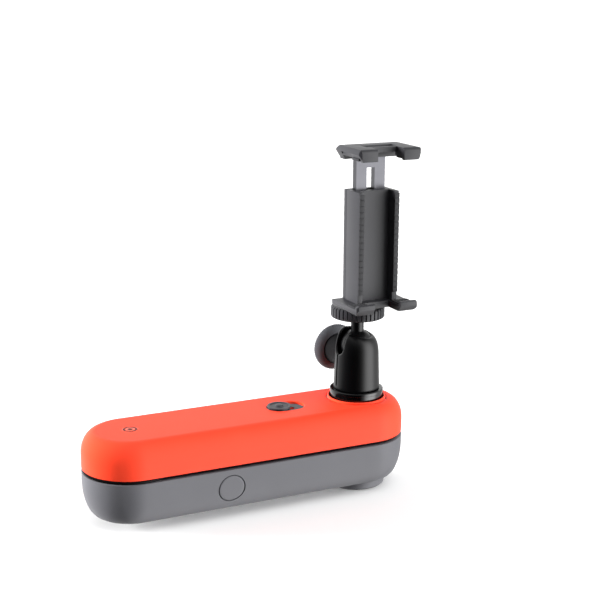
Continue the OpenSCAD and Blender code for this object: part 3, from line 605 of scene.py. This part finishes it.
def elbow_details():
    bore = ELBOW_RING_BORE
    outer = RING_HIGH[Y]
    low = RING_LOW[Z]
    high = RING_HIGH[Z]
    # The ring's near-black finish is partly its own colour and partly painted shade for the shaded seam
    # between the arms
    ring = lathe(rounded([(bore, low, 0), (outer, low, 0.2), (outer, high, 0.3), (bore, high, 0)]), 128)
    place(moved(ring, (ELBOW_X, 0, 0)), "elbow_thrust_ring", "lower_arm", "black_ring", ["elbow_ring"])

    low = UPPER_TOP - 0.9
    high = UPPER_TOP - 0.02
    lens = rounded([(0, low, 0), (LIGHT_R, low, 0), (LIGHT_R, high, 0.2), (0, high, 0)], False)
    lens = moved(lathe(lens, 64, False), (ELBOW_X, 0, 0))
    place(lens, "light_lens_disc", "upper_arm", "light_lens", ["status_light"])
    low = UPPER_TOP - 0.1
    high = UPPER_TOP + 0.04
    for name, inner, outer in LIGHT_MARKS:
        open_middle = inner > 0
        inner_edge = 0.06 if open_middle else 0
        mark = [(inner, low, 0), (outer, low, 0), (outer, high, 0.06), (inner, high, inner_edge)]
        mark = lathe(rounded(mark, open_middle), 64, open_middle)
        place(moved(mark, (ELBOW_X, 0, 0)), name, "upper_arm", "light_lens", material="icon_ink")


# Foot

FOOT_BORE = 5.0
PAD_BORE = 9.0
PAD_RIBS = 4


def foot_pieces():
    r = FOOT_HIGH[X]
    low = FOOT_LOW[Z]
    high = FOOT_HIGH[Z]
    body = rounded([(FOOT_BORE, low, 0), (r - 1.0, low, 0.5), (r, high, 0.5), (FOOT_BORE, high, 0)])
    place(lathe(body), "foot_disc", "foot", "grey_shell", ["foot"])

    top = low - 0.02
    pitch = (PAD_R - PAD_BORE) / PAD_RIBS
    tread = []
    for k in range(PAD_RIBS):
        a = PAD_BORE + k * pitch
        tread += [(a + 0.15, 0), (a + pitch - 0.35, 0), (a + pitch - 0.3, 0.3), (a + pitch + 0.1, 0.3)]
    pad = [(PAD_BORE, top)] + tread[:-2] + [(PAD_R, 0.15), (PAD_R, top)]
    place(lathe(pad), "foot_rubber_ring", "foot", "rubber", ["foot_pad"], sharp=25)


# Controls

def slide_cap():
    r = SLIDE_HIGH[Y]
    waist = r - 0.8
    low = SLIDE_LOW[Z]
    top = UPPER_TOP + 0.95
    dish = top - 0.35
    knob = top + 0.55
    cap = rounded([(0, low, 0), (waist, low, 0.2), (waist, UPPER_TOP - 0.2, 0.1), (r, top - 0.55, 0.15),
                   (r, top, 0.35), (r - 1.1, top, 0.2), (r - 1.5, dish, 0.3), (2.1, dish, 0.3),
                   (1.7, top + 0.45, 0.4), (0.5, knob, 0.4), (0, knob, 0)], False)
    cap = moved(lathe(cap, 72, False), (SLIDE_X, 0, 0))
    place(cap, "slide_switch_cap", "slide_switch", "dark_plastic", ["slide_button"], material="slot_plate")


# Ball head

TURRET_BORE = 7.0
LIP_RISE = 0.95
LIP_W = 1.0
BASE_BORE = 2.5
BASE_NECK_R = 4.0
STEM_R = 3.3
NOTCH_R = STEM_R + 0.4
NOTCH_EDGE = 1.2
SLIT_HALF = 0.45
SLIT_EDGE = 0.3
SLIT_FOOT = 1.5
SHELL_T = 1.3
MOUTH_R = 7.0
MOUTH_EDGE = 0.45
DOME_TOP_R = MOUTH_R + 0.4
DOME_R = 11.3
DOME_Z = BALL_Z - 5
RIM_LIFT = 0.7
RIM_TILT = 1.9
RIM_HIGH = math.radians(135)
BOSS_R = 8.1
BOSS_NECK_R = 5.0
KNOB_SEAM = KNOB_LOW[Y] + 2.9
BOSS_EDGE = 0.3
COLLAR_R = 5.0
STUD_R = 3.1
KNOB_RIBS = 60
WHEEL_RIBS = 36
WHEEL_BORE = 3.25


def turret_and_base():
    outer = TURRET_HIGH[X] - 0.15
    inner = outer - LIP_W
    low = TURRET_LOW[Z]
    lip = UPPER_TOP + LIP_RISE
    seat = BASE_LOW[Z]
    ring = rounded([(TURRET_BORE, low, 0), (outer, low, 0.3), (outer, lip, 0.55), (inner, lip, 0.45),
                    (inner, seat, 0), (TURRET_BORE, seat, 0)])
    place(lathe(ring, 128), "turret_lip", "head_turret", "orange_shell", ["turret_ring"])

    r = BASE_HIGH[X]
    top = HOUSING_LOW[Z] - 0.3
    neck = BASE_HIGH[Z]
    disc = rounded([(BASE_BORE, seat, 0), (r - 0.3, seat, 0.2), (r - 0.3, top - 1.75, 0.1),
                    (r, top - 1.55, 0.15), (r, top, 0.45), (BASE_NECK_R, top, 0), (BASE_NECK_R, neck, 0),
                    (BASE_BORE, neck, 0)])
    place(lathe(disc, 128), "head_base_disc", "head_turret", "gloss_black", ["head_base"])


def barrel_r(z):
    """Outer radius of the ball head's barrel at a height."""
    low = HOUSING_LOW[Z]
    foot_r = HOUSING_HIGH[X]
    if z < DOME_Z:
        return foot_r + (DOME_R - foot_r) * (z - low) / (DOME_Z - low)
    share = (z - DOME_Z) / (HOUSING_HIGH[Z] - DOME_Z)
    return DOME_TOP_R + (DOME_R - DOME_TOP_R) * math.sqrt(1 - share * share)


def barrel_rows():
    """Outer (radius, height) rows of the barrel, from its foot to its mouth."""
    low = HOUSING_LOW[Z]
    foot_r = HOUSING_HIGH[X]
    top = HOUSING_HIGH[Z]
    notch_low = BALL_Z - NOTCH_R
    slit_low = low + SLIT_FOOT
    heights = [slit_low, slit_low + 0.4]
    heights += [slit_low + 1 + (notch_low - 2.6 - slit_low) * k / 14 for k in range(15)]
    heights += [notch_low - d for d in (1.2, 0.9, 0.65, 0.45, 0.28, 0.15, 0.06)]
    heights += [BALL_Z - NOTCH_R * math.cos(math.radians(a)) for a in range(4, 81, 8)]
    rows = [(foot_r - 0.35, low), (foot_r - 0.1, low + 0.12), (foot_r, low + 0.4)]
    rows += [(barrel_r(z), z) for z in heights]
    start = math.degrees(math.asin((heights[-1] - DOME_Z) / (top - DOME_Z)))
    return rows + arc(DOME_TOP_R, DOME_Z, DOME_R - DOME_TOP_R, top - DOME_Z, start, 90, 16)[1:]


def notch_half(z):
    """Half width of the notch, or of the slit under it, at a height."""
    drop = BALL_Z - z
    if z <= HOUSING_LOW[Z] + SLIT_FOOT:
        return 0.0
    if drop >= NOTCH_R:
        return SLIT_HALF
    return max(SLIT_HALF, math.sqrt(NOTCH_R ** 2 - max(0, drop) ** 2))


def edge_drop(distance, edge):
    """How far a rounded edge falls back at a distance from the opening."""
    if distance >= edge:
        return 0.0
    return edge - math.sqrt(edge ** 2 - (edge - max(0, distance)) ** 2)


def notch_drop(y, z):
    """How far the barrel's skin falls back beside the notch and the slit."""
    rise = min(0, z - BALL_Z)
    drop = edge_drop(math.hypot(y, rise) - NOTCH_R, NOTCH_EDGE)
    if z > HOUSING_LOW[Z] + SLIT_FOOT:
        drop = max(drop, edge_drop(abs(y) - SLIT_HALF, SLIT_EDGE))
    return drop


def rim_height(z, angle):
    """Tilts the dome's rows so that the mouth's rim is higher at the back of the notch."""
    share = max(0, z - DOME_Z) / (HOUSING_HIGH[Z] - DOME_Z)
    return z + share * share * (RIM_LIFT + RIM_TILT * math.cos(angle - RIM_HIGH))


def head_housing():
    """The barrel as two skins with a U-shaped notch and a slit towards -X, with rounded edges."""
    # Shares of the way round, closer together beside the notch
    fine = [0, 0.0012, 0.003, 0.0055, 0.0085, 0.012, 0.0165, 0.022, 0.028]
    shares = fine + [0.028 + 0.944 * k / 84 for k in range(1, 84)] + [1 - s for s in reversed(fine)]
    outer = barrel_rows()
    inner = [(max(r - SHELL_T, MOUTH_R), z) for r, z in outer]
    mesh = Mesh()

    def row(r, z, is_outer):
        gap = math.asin(notch_half(z) / r)
        points = []
        for share in shares:
            a = math.pi + gap + 2 * (math.pi - gap) * share
            x = r * math.cos(a)
            y = r * math.sin(a)
            if is_outer and x < 0:
                x += notch_drop(y, z)
            points.append((x, y, rim_height(z, a)))
        return mesh.ring(points)

    def join(a, b):
        for i in range(len(shares) - 1):
            mesh.bm.faces.new((a[i], a[i + 1], b[i + 1], b[i]))

    lip = [(DOME_TOP_R - 0.15, outer[-1][1] - 0.04), (MOUTH_R, outer[-1][1] - MOUTH_EDGE)]
    outer_rows = [row(r, z, True) for r, z in outer]
    inner_rows = [row(r, z, False) for r, z in inner[:-1]] + [row(*lip[1], False)]
    rim = row(*lip[0], False)
    for rows in (outer_rows, inner_rows):
        for a, b in zip(rows, rows[1:]):
            join(a, b)
    join(outer_rows[-1], rim)
    join(rim, inner_rows[-1])
    join(outer_rows[0], inner_rows[0])
    for k in range(len(outer) - 1):
        if notch_half(outer[k + 1][1]) > 0:
            for side in (0, -1):
                mesh.bm.faces.new((outer_rows[k][side], outer_rows[k + 1][side],
                                   inner_rows[k + 1][side], inner_rows[k][side]))
    for side in (0, -1):
        mesh.bm.faces.new((outer_rows[-1][side], rim[side], inner_rows[-1][side]))
    place(mesh, "ball_head_barrel", "ball_housing", "black_metal", ["head_housing"], sharp=40)


def knob_boss():
    """The cone between barrel and knob; its foot lies inside the barrel's wall."""
    levels = []
    for share in (0.1, 0.4, 0.7, 1):
        foot = []
        for x, rise, _ in circle(BOSS_NECK_R * share, 0, 72):
            wall = barrel_r(KNOB_Z + rise) - SHELL_T / 2
            foot.append((x, math.sqrt(wall ** 2 - x ** 2), KNOB_Z + rise))
        levels.append(foot)
    cone = [(BOSS_NECK_R, DOME_R + 0.05)]
    cone += arc(BOSS_R - BOSS_EDGE, KNOB_SEAM - BOSS_EDGE, BOSS_EDGE, BOSS_EDGE, -30, 90, 5)
    for r, y in cone:
        levels.append([(x, y, KNOB_Z + rise) for x, rise, _ in circle(r, 0, 72)])
    place(Mesh().solid(levels), "knob_boss", "ball_housing", "black_metal", material="boss_black")


def ball_and_stem():
    flat = BALL_R - 0.8
    seat = BALL_Z + flat
    flat_angle = math.degrees(math.asin(flat / BALL_R))
    ball = [(0, BALL_Z - BALL_R)] + arc(0, BALL_Z, BALL_R, BALL_R, -88, flat_angle, 48) + [(0, seat)]
    place(lathe(ball, 96, False), "ball", "ball", "black_metal", ["head_ball"])

    foot = seat - 0.4
    collar = WHEEL_LOW[Z] - 0.3
    stem = rounded([(0, foot, 0), (STEM_R, foot, 0), (STEM_R, collar - 1.9, 0.4),
                    (COLLAR_R, collar - 1.2, 0.2), (COLLAR_R, collar, 0.2), (STUD_R, collar, 0),
                    (STUD_R, STEM_TOP, 0.3), (0, STEM_TOP, 0)], False)
    place(lathe(stem, 64, False), "ball_stem", "ball", "black_metal", ["head_stem"])


def ribbed(levels, ribs, crest, per_rib=8):
    """A closed ring about Z from (radius, height, rib depth) levels; crest is a rib's flat share."""
    count = ribs * per_rib
    mesh = Mesh()
    rings = []
    for r, z, depth in levels:
        points = []
        for i in range(count):
            from_middle = abs(((i / per_rib) % 1) - 0.5) * 2
            edge = min(1, max(0, (from_middle - crest) / (1 - crest) * 1.6))
            radius = r - depth * (edge * edge * (3 - 2 * edge))
            a = 2 * math.pi * i / count
            points.append((radius * math.cos(a), radius * math.sin(a), z))
        rings.append(points)
    mesh.stack(rings, True)
    return mesh


def lock_knob():
    low = KNOB_SEAM
    high = KNOB_HIGH[Y]
    r = KNOB_R + 0.4
    bore = BOSS_R + 0.3
    rim = [(bore, low + 0.3, 0), (bore + 0.25, low, 0), (r - 2.4, low + 0.75, 0), (r - 1.5, low + 1.55, 0.05),
           (r - 0.8, low + 2.4, 0.12), (r - 0.25, low + 3.3, 0.2), (r, low + 4.1, 0.25),
           (r - 0.05, high - 0.3, 0.25), (r - 0.4, high, 0.1), (bore + 0.3, high, 0), (bore, high - 0.3, 0)]
    grip = moved(turned(ribbed(rim, KNOB_RIBS, 0.45), BACK), (0, 0, KNOB_Z))
    place(grip, "knob_grip", "lock_knob", "rubber", ["knob_rim"], material="knob_rubber")

    core_r = bore - 0.02
    face = high - 0.8
    dish = face - 0.7
    core = rounded([(0, low + 0.3, 0), (core_r, low + 0.3, 0), (core_r, face, 0.3), (7.6, face, 0.3),
                    (6.9, dish, 0.3), (2.6, dish, 0.2), (2.2, face - 0.2, 0.2), (0, face - 0.2, 0)], False)
    core = moved(turned(lathe(core, 96, False), BACK), (0, 0, KNOB_Z))
    place(core, "knob_core", "lock_knob", "dark_plastic", ["knob_hub"])


def lock_wheel():
    r = WHEEL_HIGH[X]
    low = WHEEL_LOW[Z]
    high = WHEEL_HIGH[Z]
    levels = [(WHEEL_BORE, low, 0), (r - 2.2, low, 0), (r - 1.2, low + 0.15, 0.1), (r - 0.35, low + 0.6, 0.7),
              (r, low + 1.2, 0.9), (r, high - 1.0, 0.9), (r - 0.3, high - 0.4, 0.8), (r - 1.0, high, 0.3),
              (r - 1.8, high, 0), (WHEEL_BORE, high, 0)]
    wheel = ribbed(levels, WHEEL_RIBS, 0.78, 12)
    place(wheel, "lock_wheel_grip", "lock_wheel", "dark_plastic", ["lock_wheel"])


# Phone clamp

JAW_Z = CLAMP_LOW[Z] + 2.3
GRIP_Z = LOWER_PAD_HIGH[Z]
UPPER_GRIP_Z = UPPER_PAD_LOW[Z]
FINGER_GAP = 14.4
LIP_T = 2.2
SLEEVE_HALF = 11.0
SLEEVE_FRONT = -14.5
RIB_FRONT = -20.0
RIB_W = 2.6
CLAMP_BOSS_R = 9.0
CLAMP_BORE = 3.3
SIDE_ROUND = 1.4
SIDE_ROUND_H = 2.3
SIDE_SLOPE = 1.9
JAW_PLATE_T = 2.6
PAD_INSET = FINGER_GAP / 2 + 0.6
PAD_PITCH = 1.5
RIB_PITCH = 3.0
GROOVE_DEPTH = 0.35
GROOVE_HALF = 0.22
PANEL_SIDE = 3.2
PANEL_END = 8.0
PANEL_DEPTH = 0.35
TONGUE_SLOT_HALF = 2.2
CHANNEL_HALF = 8.3
CHANNEL_FRONT = -11.3
BLOCK_FRONT = -12.0
WINDOW_HALF = 8.5
# Longer than any edge that it bevels
BAR_HALF = 60.0


def bevel_bar(leg, along, spot):
    """A square bar along an axis, turned to cut a bevel of the given leg from an edge."""
    half = [leg / math.sqrt(2)] * 3
    half["XYZ".index(along)] = BAR_HALF
    bar = slab([-v for v in half], half)
    bmesh.ops.rotate(bar.bm, matrix=Matrix.Rotation(math.radians(45), 3, along), verts=bar.bm.verts)
    return moved(bar, spot)


def both_sides(mesh):
    """A cutter and its mirror image in X."""
    return [mesh, mirrored(mesh)]


def clamp_base():
    half = CLAMP_HIGH[X]
    reach = CLAMP_LOW[Y]
    foot = CLAMP_LOW[Z]
    top = CLAMP_HIGH[Z]
    back = COVER_HIGH[Y]
    plate = GRIP_Z - 0.6
    lip = GRIP_Z + 1.3
    inner = reach + LIP_T
    finger = rounded([(reach + 2.2, JAW_Z, 0), (back, JAW_Z, 0), (back, plate, 0), (inner, plate, 0),
                      (inner, lip, 0.5), (reach, lip, 0.6), (reach, JAW_Z + 2.8, 0)])
    right = prism_x(finger, FINGER_GAP / 2, half)
    rib = slab((SLEEVE_HALF - RIB_W, RIB_FRONT, JAW_Z + 0.5), (SLEEVE_HALF, SLEEVE_FRONT + 0.5, top))
    sleeve = slab((-SLEEVE_HALF, SLEEVE_FRONT, JAW_Z + 0.2), (SLEEVE_HALF, COVER_LOW[Y], top))
    bridge = slab((-half, reach + 12, JAW_Z), (half, back, plate))
    cuts = [slab((-CHANNEL_HALF, CHANNEL_FRONT, GRIP_Z + 2.5), (CHANNEL_HALF, 0, top + 5))]
    cuts += both_sides(bevel_bar(0.9, "Z", (half, reach, JAW_Z)))
    cuts += both_sides(bevel_bar(1.1, "Y", (half, 0, JAW_Z)))
    cuts += both_sides(bevel_bar(1.0, "Y", (half, 0, lip)))
    mesh = combined(bridge, [mirrored(right), right, sleeve, mirrored(rib), rib], cuts)
    place(bevelled(mesh, 0.3), "clamp_body", "clamp", "dark_plastic", ["clamp_base"])
    boss_top = JAW_Z + 0.2
    boss = rounded([(CLAMP_BORE, foot, 0), (CLAMP_BOSS_R, foot, 0.3), (CLAMP_BOSS_R, boss_top, 0),
                    (CLAMP_BORE, boss_top, 0)])
    place(lathe(boss, 72), "clamp_boss", "clamp", "dark_plastic")


def spine_cover():
    low = COVER_LOW
    high = COVER_HIGH
    panel = slab((low[X] + PANEL_SIDE, high[Y] - PANEL_DEPTH, low[Z] + PANEL_END),
                 (high[X] - PANEL_SIDE, high[Y] + 1, high[Z] - PANEL_END))
    mesh = combined(slab(low, high), cuts=[panel])
    place(bevelled(mesh, 0.35), "spine_back_cover", "clamp", "dark_plastic", ["spine_cover"])


def pad_strip(low, high, axis, pitch, side, sign):
    """A rubber pad with grooves in a row along an axis, cut into its face on one side of another axis."""
    count = int((high[axis] - low[axis]) / pitch)
    start = (low[axis] + high[axis] - (count - 1) * pitch) / 2
    cuts = []
    for k in range(count):
        a = [v - 1 for v in low]
        b = [v + 1 for v in high]
        a[axis] = start + k * pitch - GROOVE_HALF
        b[axis] = start + k * pitch + GROOVE_HALF
        if sign > 0:
            a[side] = high[side] - GROOVE_DEPTH
        else:
            b[side] = low[side] + GROOVE_DEPTH
        cuts.append(slab(a, b))
    return bevelled(combined(slab(low, high), cuts=cuts), 0.1, 2)


def two_sided(mesh):
    """The mesh and its mirror image in X as one."""
    return combined(mesh, [mirrored(mesh)])


def clamp_pads():
    lower = pad_strip([PAD_INSET] + LOWER_PAD_LOW[Y:], LOWER_PAD_HIGH, X, PAD_PITCH, Z, 1)
    place(two_sided(lower), "lower_finger_pads", "clamp", "rubber", ["lower_pads"])
    rib = pad_strip([SLEEVE_HALF - RIB_W] + RIB_PAD_LOW[Y:], RIB_PAD_HIGH, Z, RIB_PITCH, Y, -1)
    place(two_sided(rib), "spine_grip_pads", "clamp", "rubber", ["rib_pads"])
    upper = pad_strip([PAD_INSET] + UPPER_PAD_LOW[Y:], UPPER_PAD_HIGH, X, PAD_PITCH, Z, -1)
    place(two_sided(upper), "upper_finger_pads", "jaw", "rubber", ["upper_pads"])


def upper_jaw():
    half = JAW_HIGH[X]
    reach = JAW_LOW[Y]
    back = JAW_HIGH[Y]
    top = JAW_HIGH[Z]
    low = JAW_LOW[Z]
    plate = top - JAW_PLATE_T
    pad = UPPER_GRIP_Z + 1.2
    lip = UPPER_GRIP_Z - 0.4
    inner = reach + LIP_T
    root = reach + 9.4
    finger = rounded([(reach, lip, 0.4), (inner, lip, 0.3), (inner, pad, 0), (root, pad, 0), (root, top, 0),
                      (reach, top, 1.6)])
    right = prism_x(finger, FINGER_GAP / 2, half)
    deck = slab((-half, reach + 7.5, plate), (half, back, top))
    under = plate + 0.5
    block = [(BLOCK_FRONT, low), (back - 1, low), (back, low + 4), (back, under), (BLOCK_FRONT, under)]
    block = prism_x(block, -half, half)
    cheek = slab((half - 3, reach + 9, pad), (half - 0.8, -11.5, plate + 0.3))
    window = slab((-WINDOW_HALF, reach + 9.1, 0), (WINDOW_HALF, reach + 15.6, top + 5))
    side = arc(half - SIDE_ROUND, top - SIDE_ROUND_H, SIDE_ROUND, SIDE_ROUND_H, 90, 0, 6)
    side += [(half, top - SIDE_ROUND_H - 0.3), (half - SIDE_SLOPE, lip), (half - SIDE_SLOPE, low - 1)]
    side += [(half + 2, low - 1), (half + 2, top + 2), (half - SIDE_ROUND, top + 2)]
    cuts = [window, bevel_bar(1.8, "X", (0, back, top))]
    cuts += both_sides(prism_y(side, reach - 2, back + 2))
    cuts += both_sides(bevel_bar(1.2, "Z", (half, reach, top)))
    mesh = combined(deck, [block, right, mirrored(right), cheek, mirrored(cheek)], cuts)
    place(bevelled(mesh, 0.3), "upper_jaw_body", "jaw", "dark_plastic", ["upper_jaw"])


def tongue():
    low, high = span("jaw_tongue")
    spring_end = span("jaw_spring")[1][Z]
    half = TONGUE_SLOT_HALF
    front = low[Y] - 1
    back = high[Y] + 1
    slots = [slab((-half, front, low[Z] - 1), (half, back, spring_end + 0.1)),
             slab((-half, front, spring_end + 2.1), (half, back, UPPER_GRIP_Z - 6))]
    bar = bevelled(combined(slab(low, high), cuts=slots), 0.25, 2)
    place(bar, "jaw_slide_bar", "jaw", "steel", ["jaw_tongue"])


def jaw_spring():
    """A coil of wire in the place of the CAD spring, between the clamp and the jaw."""
    low, high = span("jaw_spring")
    wire_r = 0.3
    coil_r = high[X] - wire_r
    y = (low[Y] + high[Y]) / 2
    turns = 28
    per_turn = 14
    rise = (high[Z] - low[Z] - 2 * wire_r) / (turns * per_turn)
    levels = []
    for i in range(turns * per_turn + 1):
        a = 2 * math.pi * i / per_turn
        level = []
        for k in range(6):
            r = coil_r + wire_r * math.cos(math.pi * k / 3)
            z = low[Z] + wire_r + rise * i + wire_r * math.sin(math.pi * k / 3)
            level.append((r * math.cos(a), y + r * math.sin(a), z))
        levels.append(level)
    coil = dress(Mesh().solid(levels), "jaw_spring_coil", "steel", ["jaw_spring"], sharp=80)
    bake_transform(coil)


# Screws

# Radius and height of the head, and the length in all
ARM_SCREW = (2.0, 1.0, 8.0)
COVER_SCREW = (1.4, 1.0, 5.0)


def screw(spot, head_r, head_h, length, way):
    """A button-head screw with a six-sided socket, its head at a spot."""
    mesh = Mesh()
    shank = 0.5 * head_r
    profile = rounded([(shank, -length, 0.1), (shank, -head_h, 0), (head_r, -head_h, 0), (head_r, 0, 0.25),
                       (0.55 * head_r, 0, 0)], False, 4)
    body = mesh.stack([circle(r, h, 48) for r, h in [(0, -length)] + profile])
    socket = mesh.stack([circle(0.52 * head_r, h, 6) for h in (0, -0.55 * head_h)])
    mesh.cap(socket[-1])
    mesh.fill(body[-1], socket[0])
    return moved(turned(mesh, way), spot)


def solid_middles(node):
    """Middles of a CAD node's separate solids, in millimetres."""
    bm = bmesh.new()
    bm.from_mesh(frame["nodes"][node].data)
    bmesh.ops.remove_doubles(bm, verts=bm.verts, dist=1e-7)
    left = set(bm.verts)
    middles = []
    while left:
        island = set()
        queue = [left.pop()]
        while queue:
            vertex = queue.pop()
            island.add(vertex)
            for edge in vertex.link_edges:
                other = edge.other_vert(vertex)
                if other in left:
                    left.discard(other)
                    queue.append(other)
        middle = []
        for axis in (X, Y, Z):
            values = [vertex.co[axis] for vertex in island]
            middle.append((min(values) + max(values)) / 2 / MM)
        middles.append(middle)
    bm.free()
    return sorted(middles)


def screws():
    """Screws in the places of the CAD ones, their heads level with the face that they hold."""
    jobs = [("lid_screws", "lower_screws", "lower_arm", UP, Z, LOWER_TOP, ARM_SCREW),
            ("base_screws", "upper_screws", "upper_arm", DOWN, Z, UPPER_Z, ARM_SCREW),
            ("cover_screws", "spine_screws", "clamp", BACK, Y, COVER_HIGH[Y], COVER_SCREW)]
    for name, node, body, way, axis, face, size in jobs:
        mesh = Mesh()
        for spot in solid_middles(node):
            spot[axis] = face
            add(mesh, screw(spot, *size, way))
        place(mesh, name, body, "steel", [node])


upper_shell()
lower_shell()
flank_details()
elbow_details()
foot_pieces()
slide_cap()
turret_and_base()
head_housing()
knob_boss()
ball_and_stem()
lock_knob()
lock_wheel()
clamp_base()
spine_cover()
clamp_pads()
upper_jaw()
tongue()
jaw_spring()
screws()


# Floor, light and camera

FLOOR_HALF = 60.0

# Soft lights: name, azimuth, elevation and spread in degrees, power
LIGHTS = (("key_light", 50, 10, 20, 2.0), ("left_light", -122, 8, 24, 14.5), ("top_light", 30, 60, 50, 1.35))

# Brightness of the surroundings by azimuth in degrees: bright at the left back and the right front
SURROUND = ((-180, 0.3), (-155, 0.3), (-125, 0.16), (-94, 0.05), (-75, 0), (-8, 0), (6, 0.12),
            (18, 0.6), (32, 0.95), (54, 0.9), (74, 0.25), (105, 0.12), (140, 0.22), (180, 0.3))
SURROUND_PEAK = 4.6
SKY = 0.6
SKY_START = 0.2
SKY_FULL = 0.8
BACKDROP = 1.0

# The photograph's viewpoint, from a fit of the camera to the part's outlines; angles in degrees
CAMERA_AZIMUTH = -25.95
CAMERA_ELEVATION = 13.96
CAMERA_ROLL = 0.37
CAMERA_SPOT = (-0.3108, -0.5713, 0.259)
CAMERA_LENS = 78.77


def toward(azimuth, elevation):
    """A direction by angles in degrees; azimuth 0 is in front of the part and 90 to its right."""
    a = math.radians(azimuth)
    e = math.radians(elevation)
    return Vector((math.sin(a) * math.cos(e), -math.cos(a) * math.cos(e), math.sin(e)))


def floor():
    data = bpy.data.meshes.new("floor")
    corners = [(FLOOR_HALF * x, FLOOR_HALF * y, 0) for x, y in ((-1, -1), (1, -1), (1, 1), (-1, 1))]
    data.from_pydata(corners, [], [(0, 1, 2, 3)])
    obj = bpy.data.objects.new("floor", data)
    bpy.context.scene.collection.objects.link(obj)
    data.materials.append(finish("floor", srgb(244, 244, 244), 0.9, shift=0.004, cloud=4, depth=0))
    obj.visible_diffuse = False
    obj.visible_glossy = False


def sun(name, azimuth, elevation, spread, power):
    """A wide, distant soft light that no surface mirrors."""
    data = bpy.data.lights.new(name, "SUN")
    data.energy = power
    data.angle = math.radians(spread)
    obj = bpy.data.objects.new(name, data)
    obj.rotation_euler = toward(azimuth, elevation).to_track_quat("Z", "Y").to_euler()
    obj.visible_glossy = False
    bpy.context.scene.collection.objects.link(obj)


def surroundings():
    """A world that is brighter on some sides of the part, with an even sky and a plain backdrop."""
    world = bpy.data.worlds.new("studio")
    bpy.context.scene.world = world
    world.use_nodes = True
    nodes = world.node_tree.nodes
    links = world.node_tree.links

    def math_node(operation, *values):
        node = nodes.new("ShaderNodeMath")
        node.operation = operation
        for socket, value in zip(node.inputs, values):
            if isinstance(value, float):
                socket.default_value = value
            else:
                links.new(value, socket)
        return node.outputs["Value"]

    where = nodes.new("ShaderNodeTexCoord")
    axes = nodes.new("ShaderNodeSeparateXYZ")
    links.new(where.outputs["Generated"], axes.inputs["Vector"])
    front = math_node("MULTIPLY", axes.outputs["Y"], -1.0)
    turn = math_node("ARCTAN2", axes.outputs["X"], front)
    share = math_node("MULTIPLY_ADD", turn, 0.5 / math.pi, 0.5)
    ramp = nodes.new("ShaderNodeValToRGB")
    stops = ramp.color_ramp.elements
    while len(stops) < len(SURROUND):
        stops.new(0.5)
    for stop, (azimuth, level) in zip(stops, SURROUND):
        stop.position = (azimuth + 180) / 360
        stop.color = (level, level, level, 1)
    links.new(share, ramp.inputs["Fac"])
    level = math_node("MULTIPLY", ramp.outputs["Color"], SURROUND_PEAK)
    height = nodes.new("ShaderNodeMapRange")
    height.inputs["From Min"].default_value = SKY_START
    height.inputs["From Max"].default_value = SKY_FULL
    links.new(axes.outputs["Z"], height.inputs["Value"])
    sky = nodes.new("ShaderNodeMix")
    links.new(height.outputs["Result"], sky.inputs["Factor"])
    links.new(level, sky.inputs["A"])
    sky.inputs["B"].default_value = SKY
    ray = nodes.new("ShaderNodeLightPath")
    backdrop = nodes.new("ShaderNodeMix")
    links.new(ray.outputs["Is Camera Ray"], backdrop.inputs["Factor"])
    links.new(sky.outputs["Result"], backdrop.inputs["A"])
    backdrop.inputs["B"].default_value = BACKDROP
    links.new(backdrop.outputs["Result"], nodes["Background"].inputs["Strength"])
    nodes["Background"].inputs["Color"].default_value = (1, 1, 1, 1)


def studio():
    surroundings()
    for light in LIGHTS:
        sun(*light)
    bpy.context.scene.view_settings.view_transform = "Standard"


def camera():
    back = toward(CAMERA_AZIMUTH, CAMERA_ELEVATION)
    right = Vector((0, 0, 1)).cross(back).normalized()
    up = back.cross(right)
    roll = math.radians(CAMERA_ROLL)
    x = math.cos(roll) * right + math.sin(roll) * up
    y = math.cos(roll) * up - math.sin(roll) * right
    data = bpy.data.cameras.new("camera")
    data.sensor_width = 36.0
    data.lens = CAMERA_LENS
    data.clip_start = 0.01
    obj = bpy.data.objects.new("camera", data)
    obj.matrix_world = Matrix.Translation(CAMERA_SPOT) @ Matrix((x, y, back)).transposed().to_4x4()
    bpy.context.scene.collection.objects.link(obj)
    bpy.context.scene.camera = obj


floor()
studio()
camera()
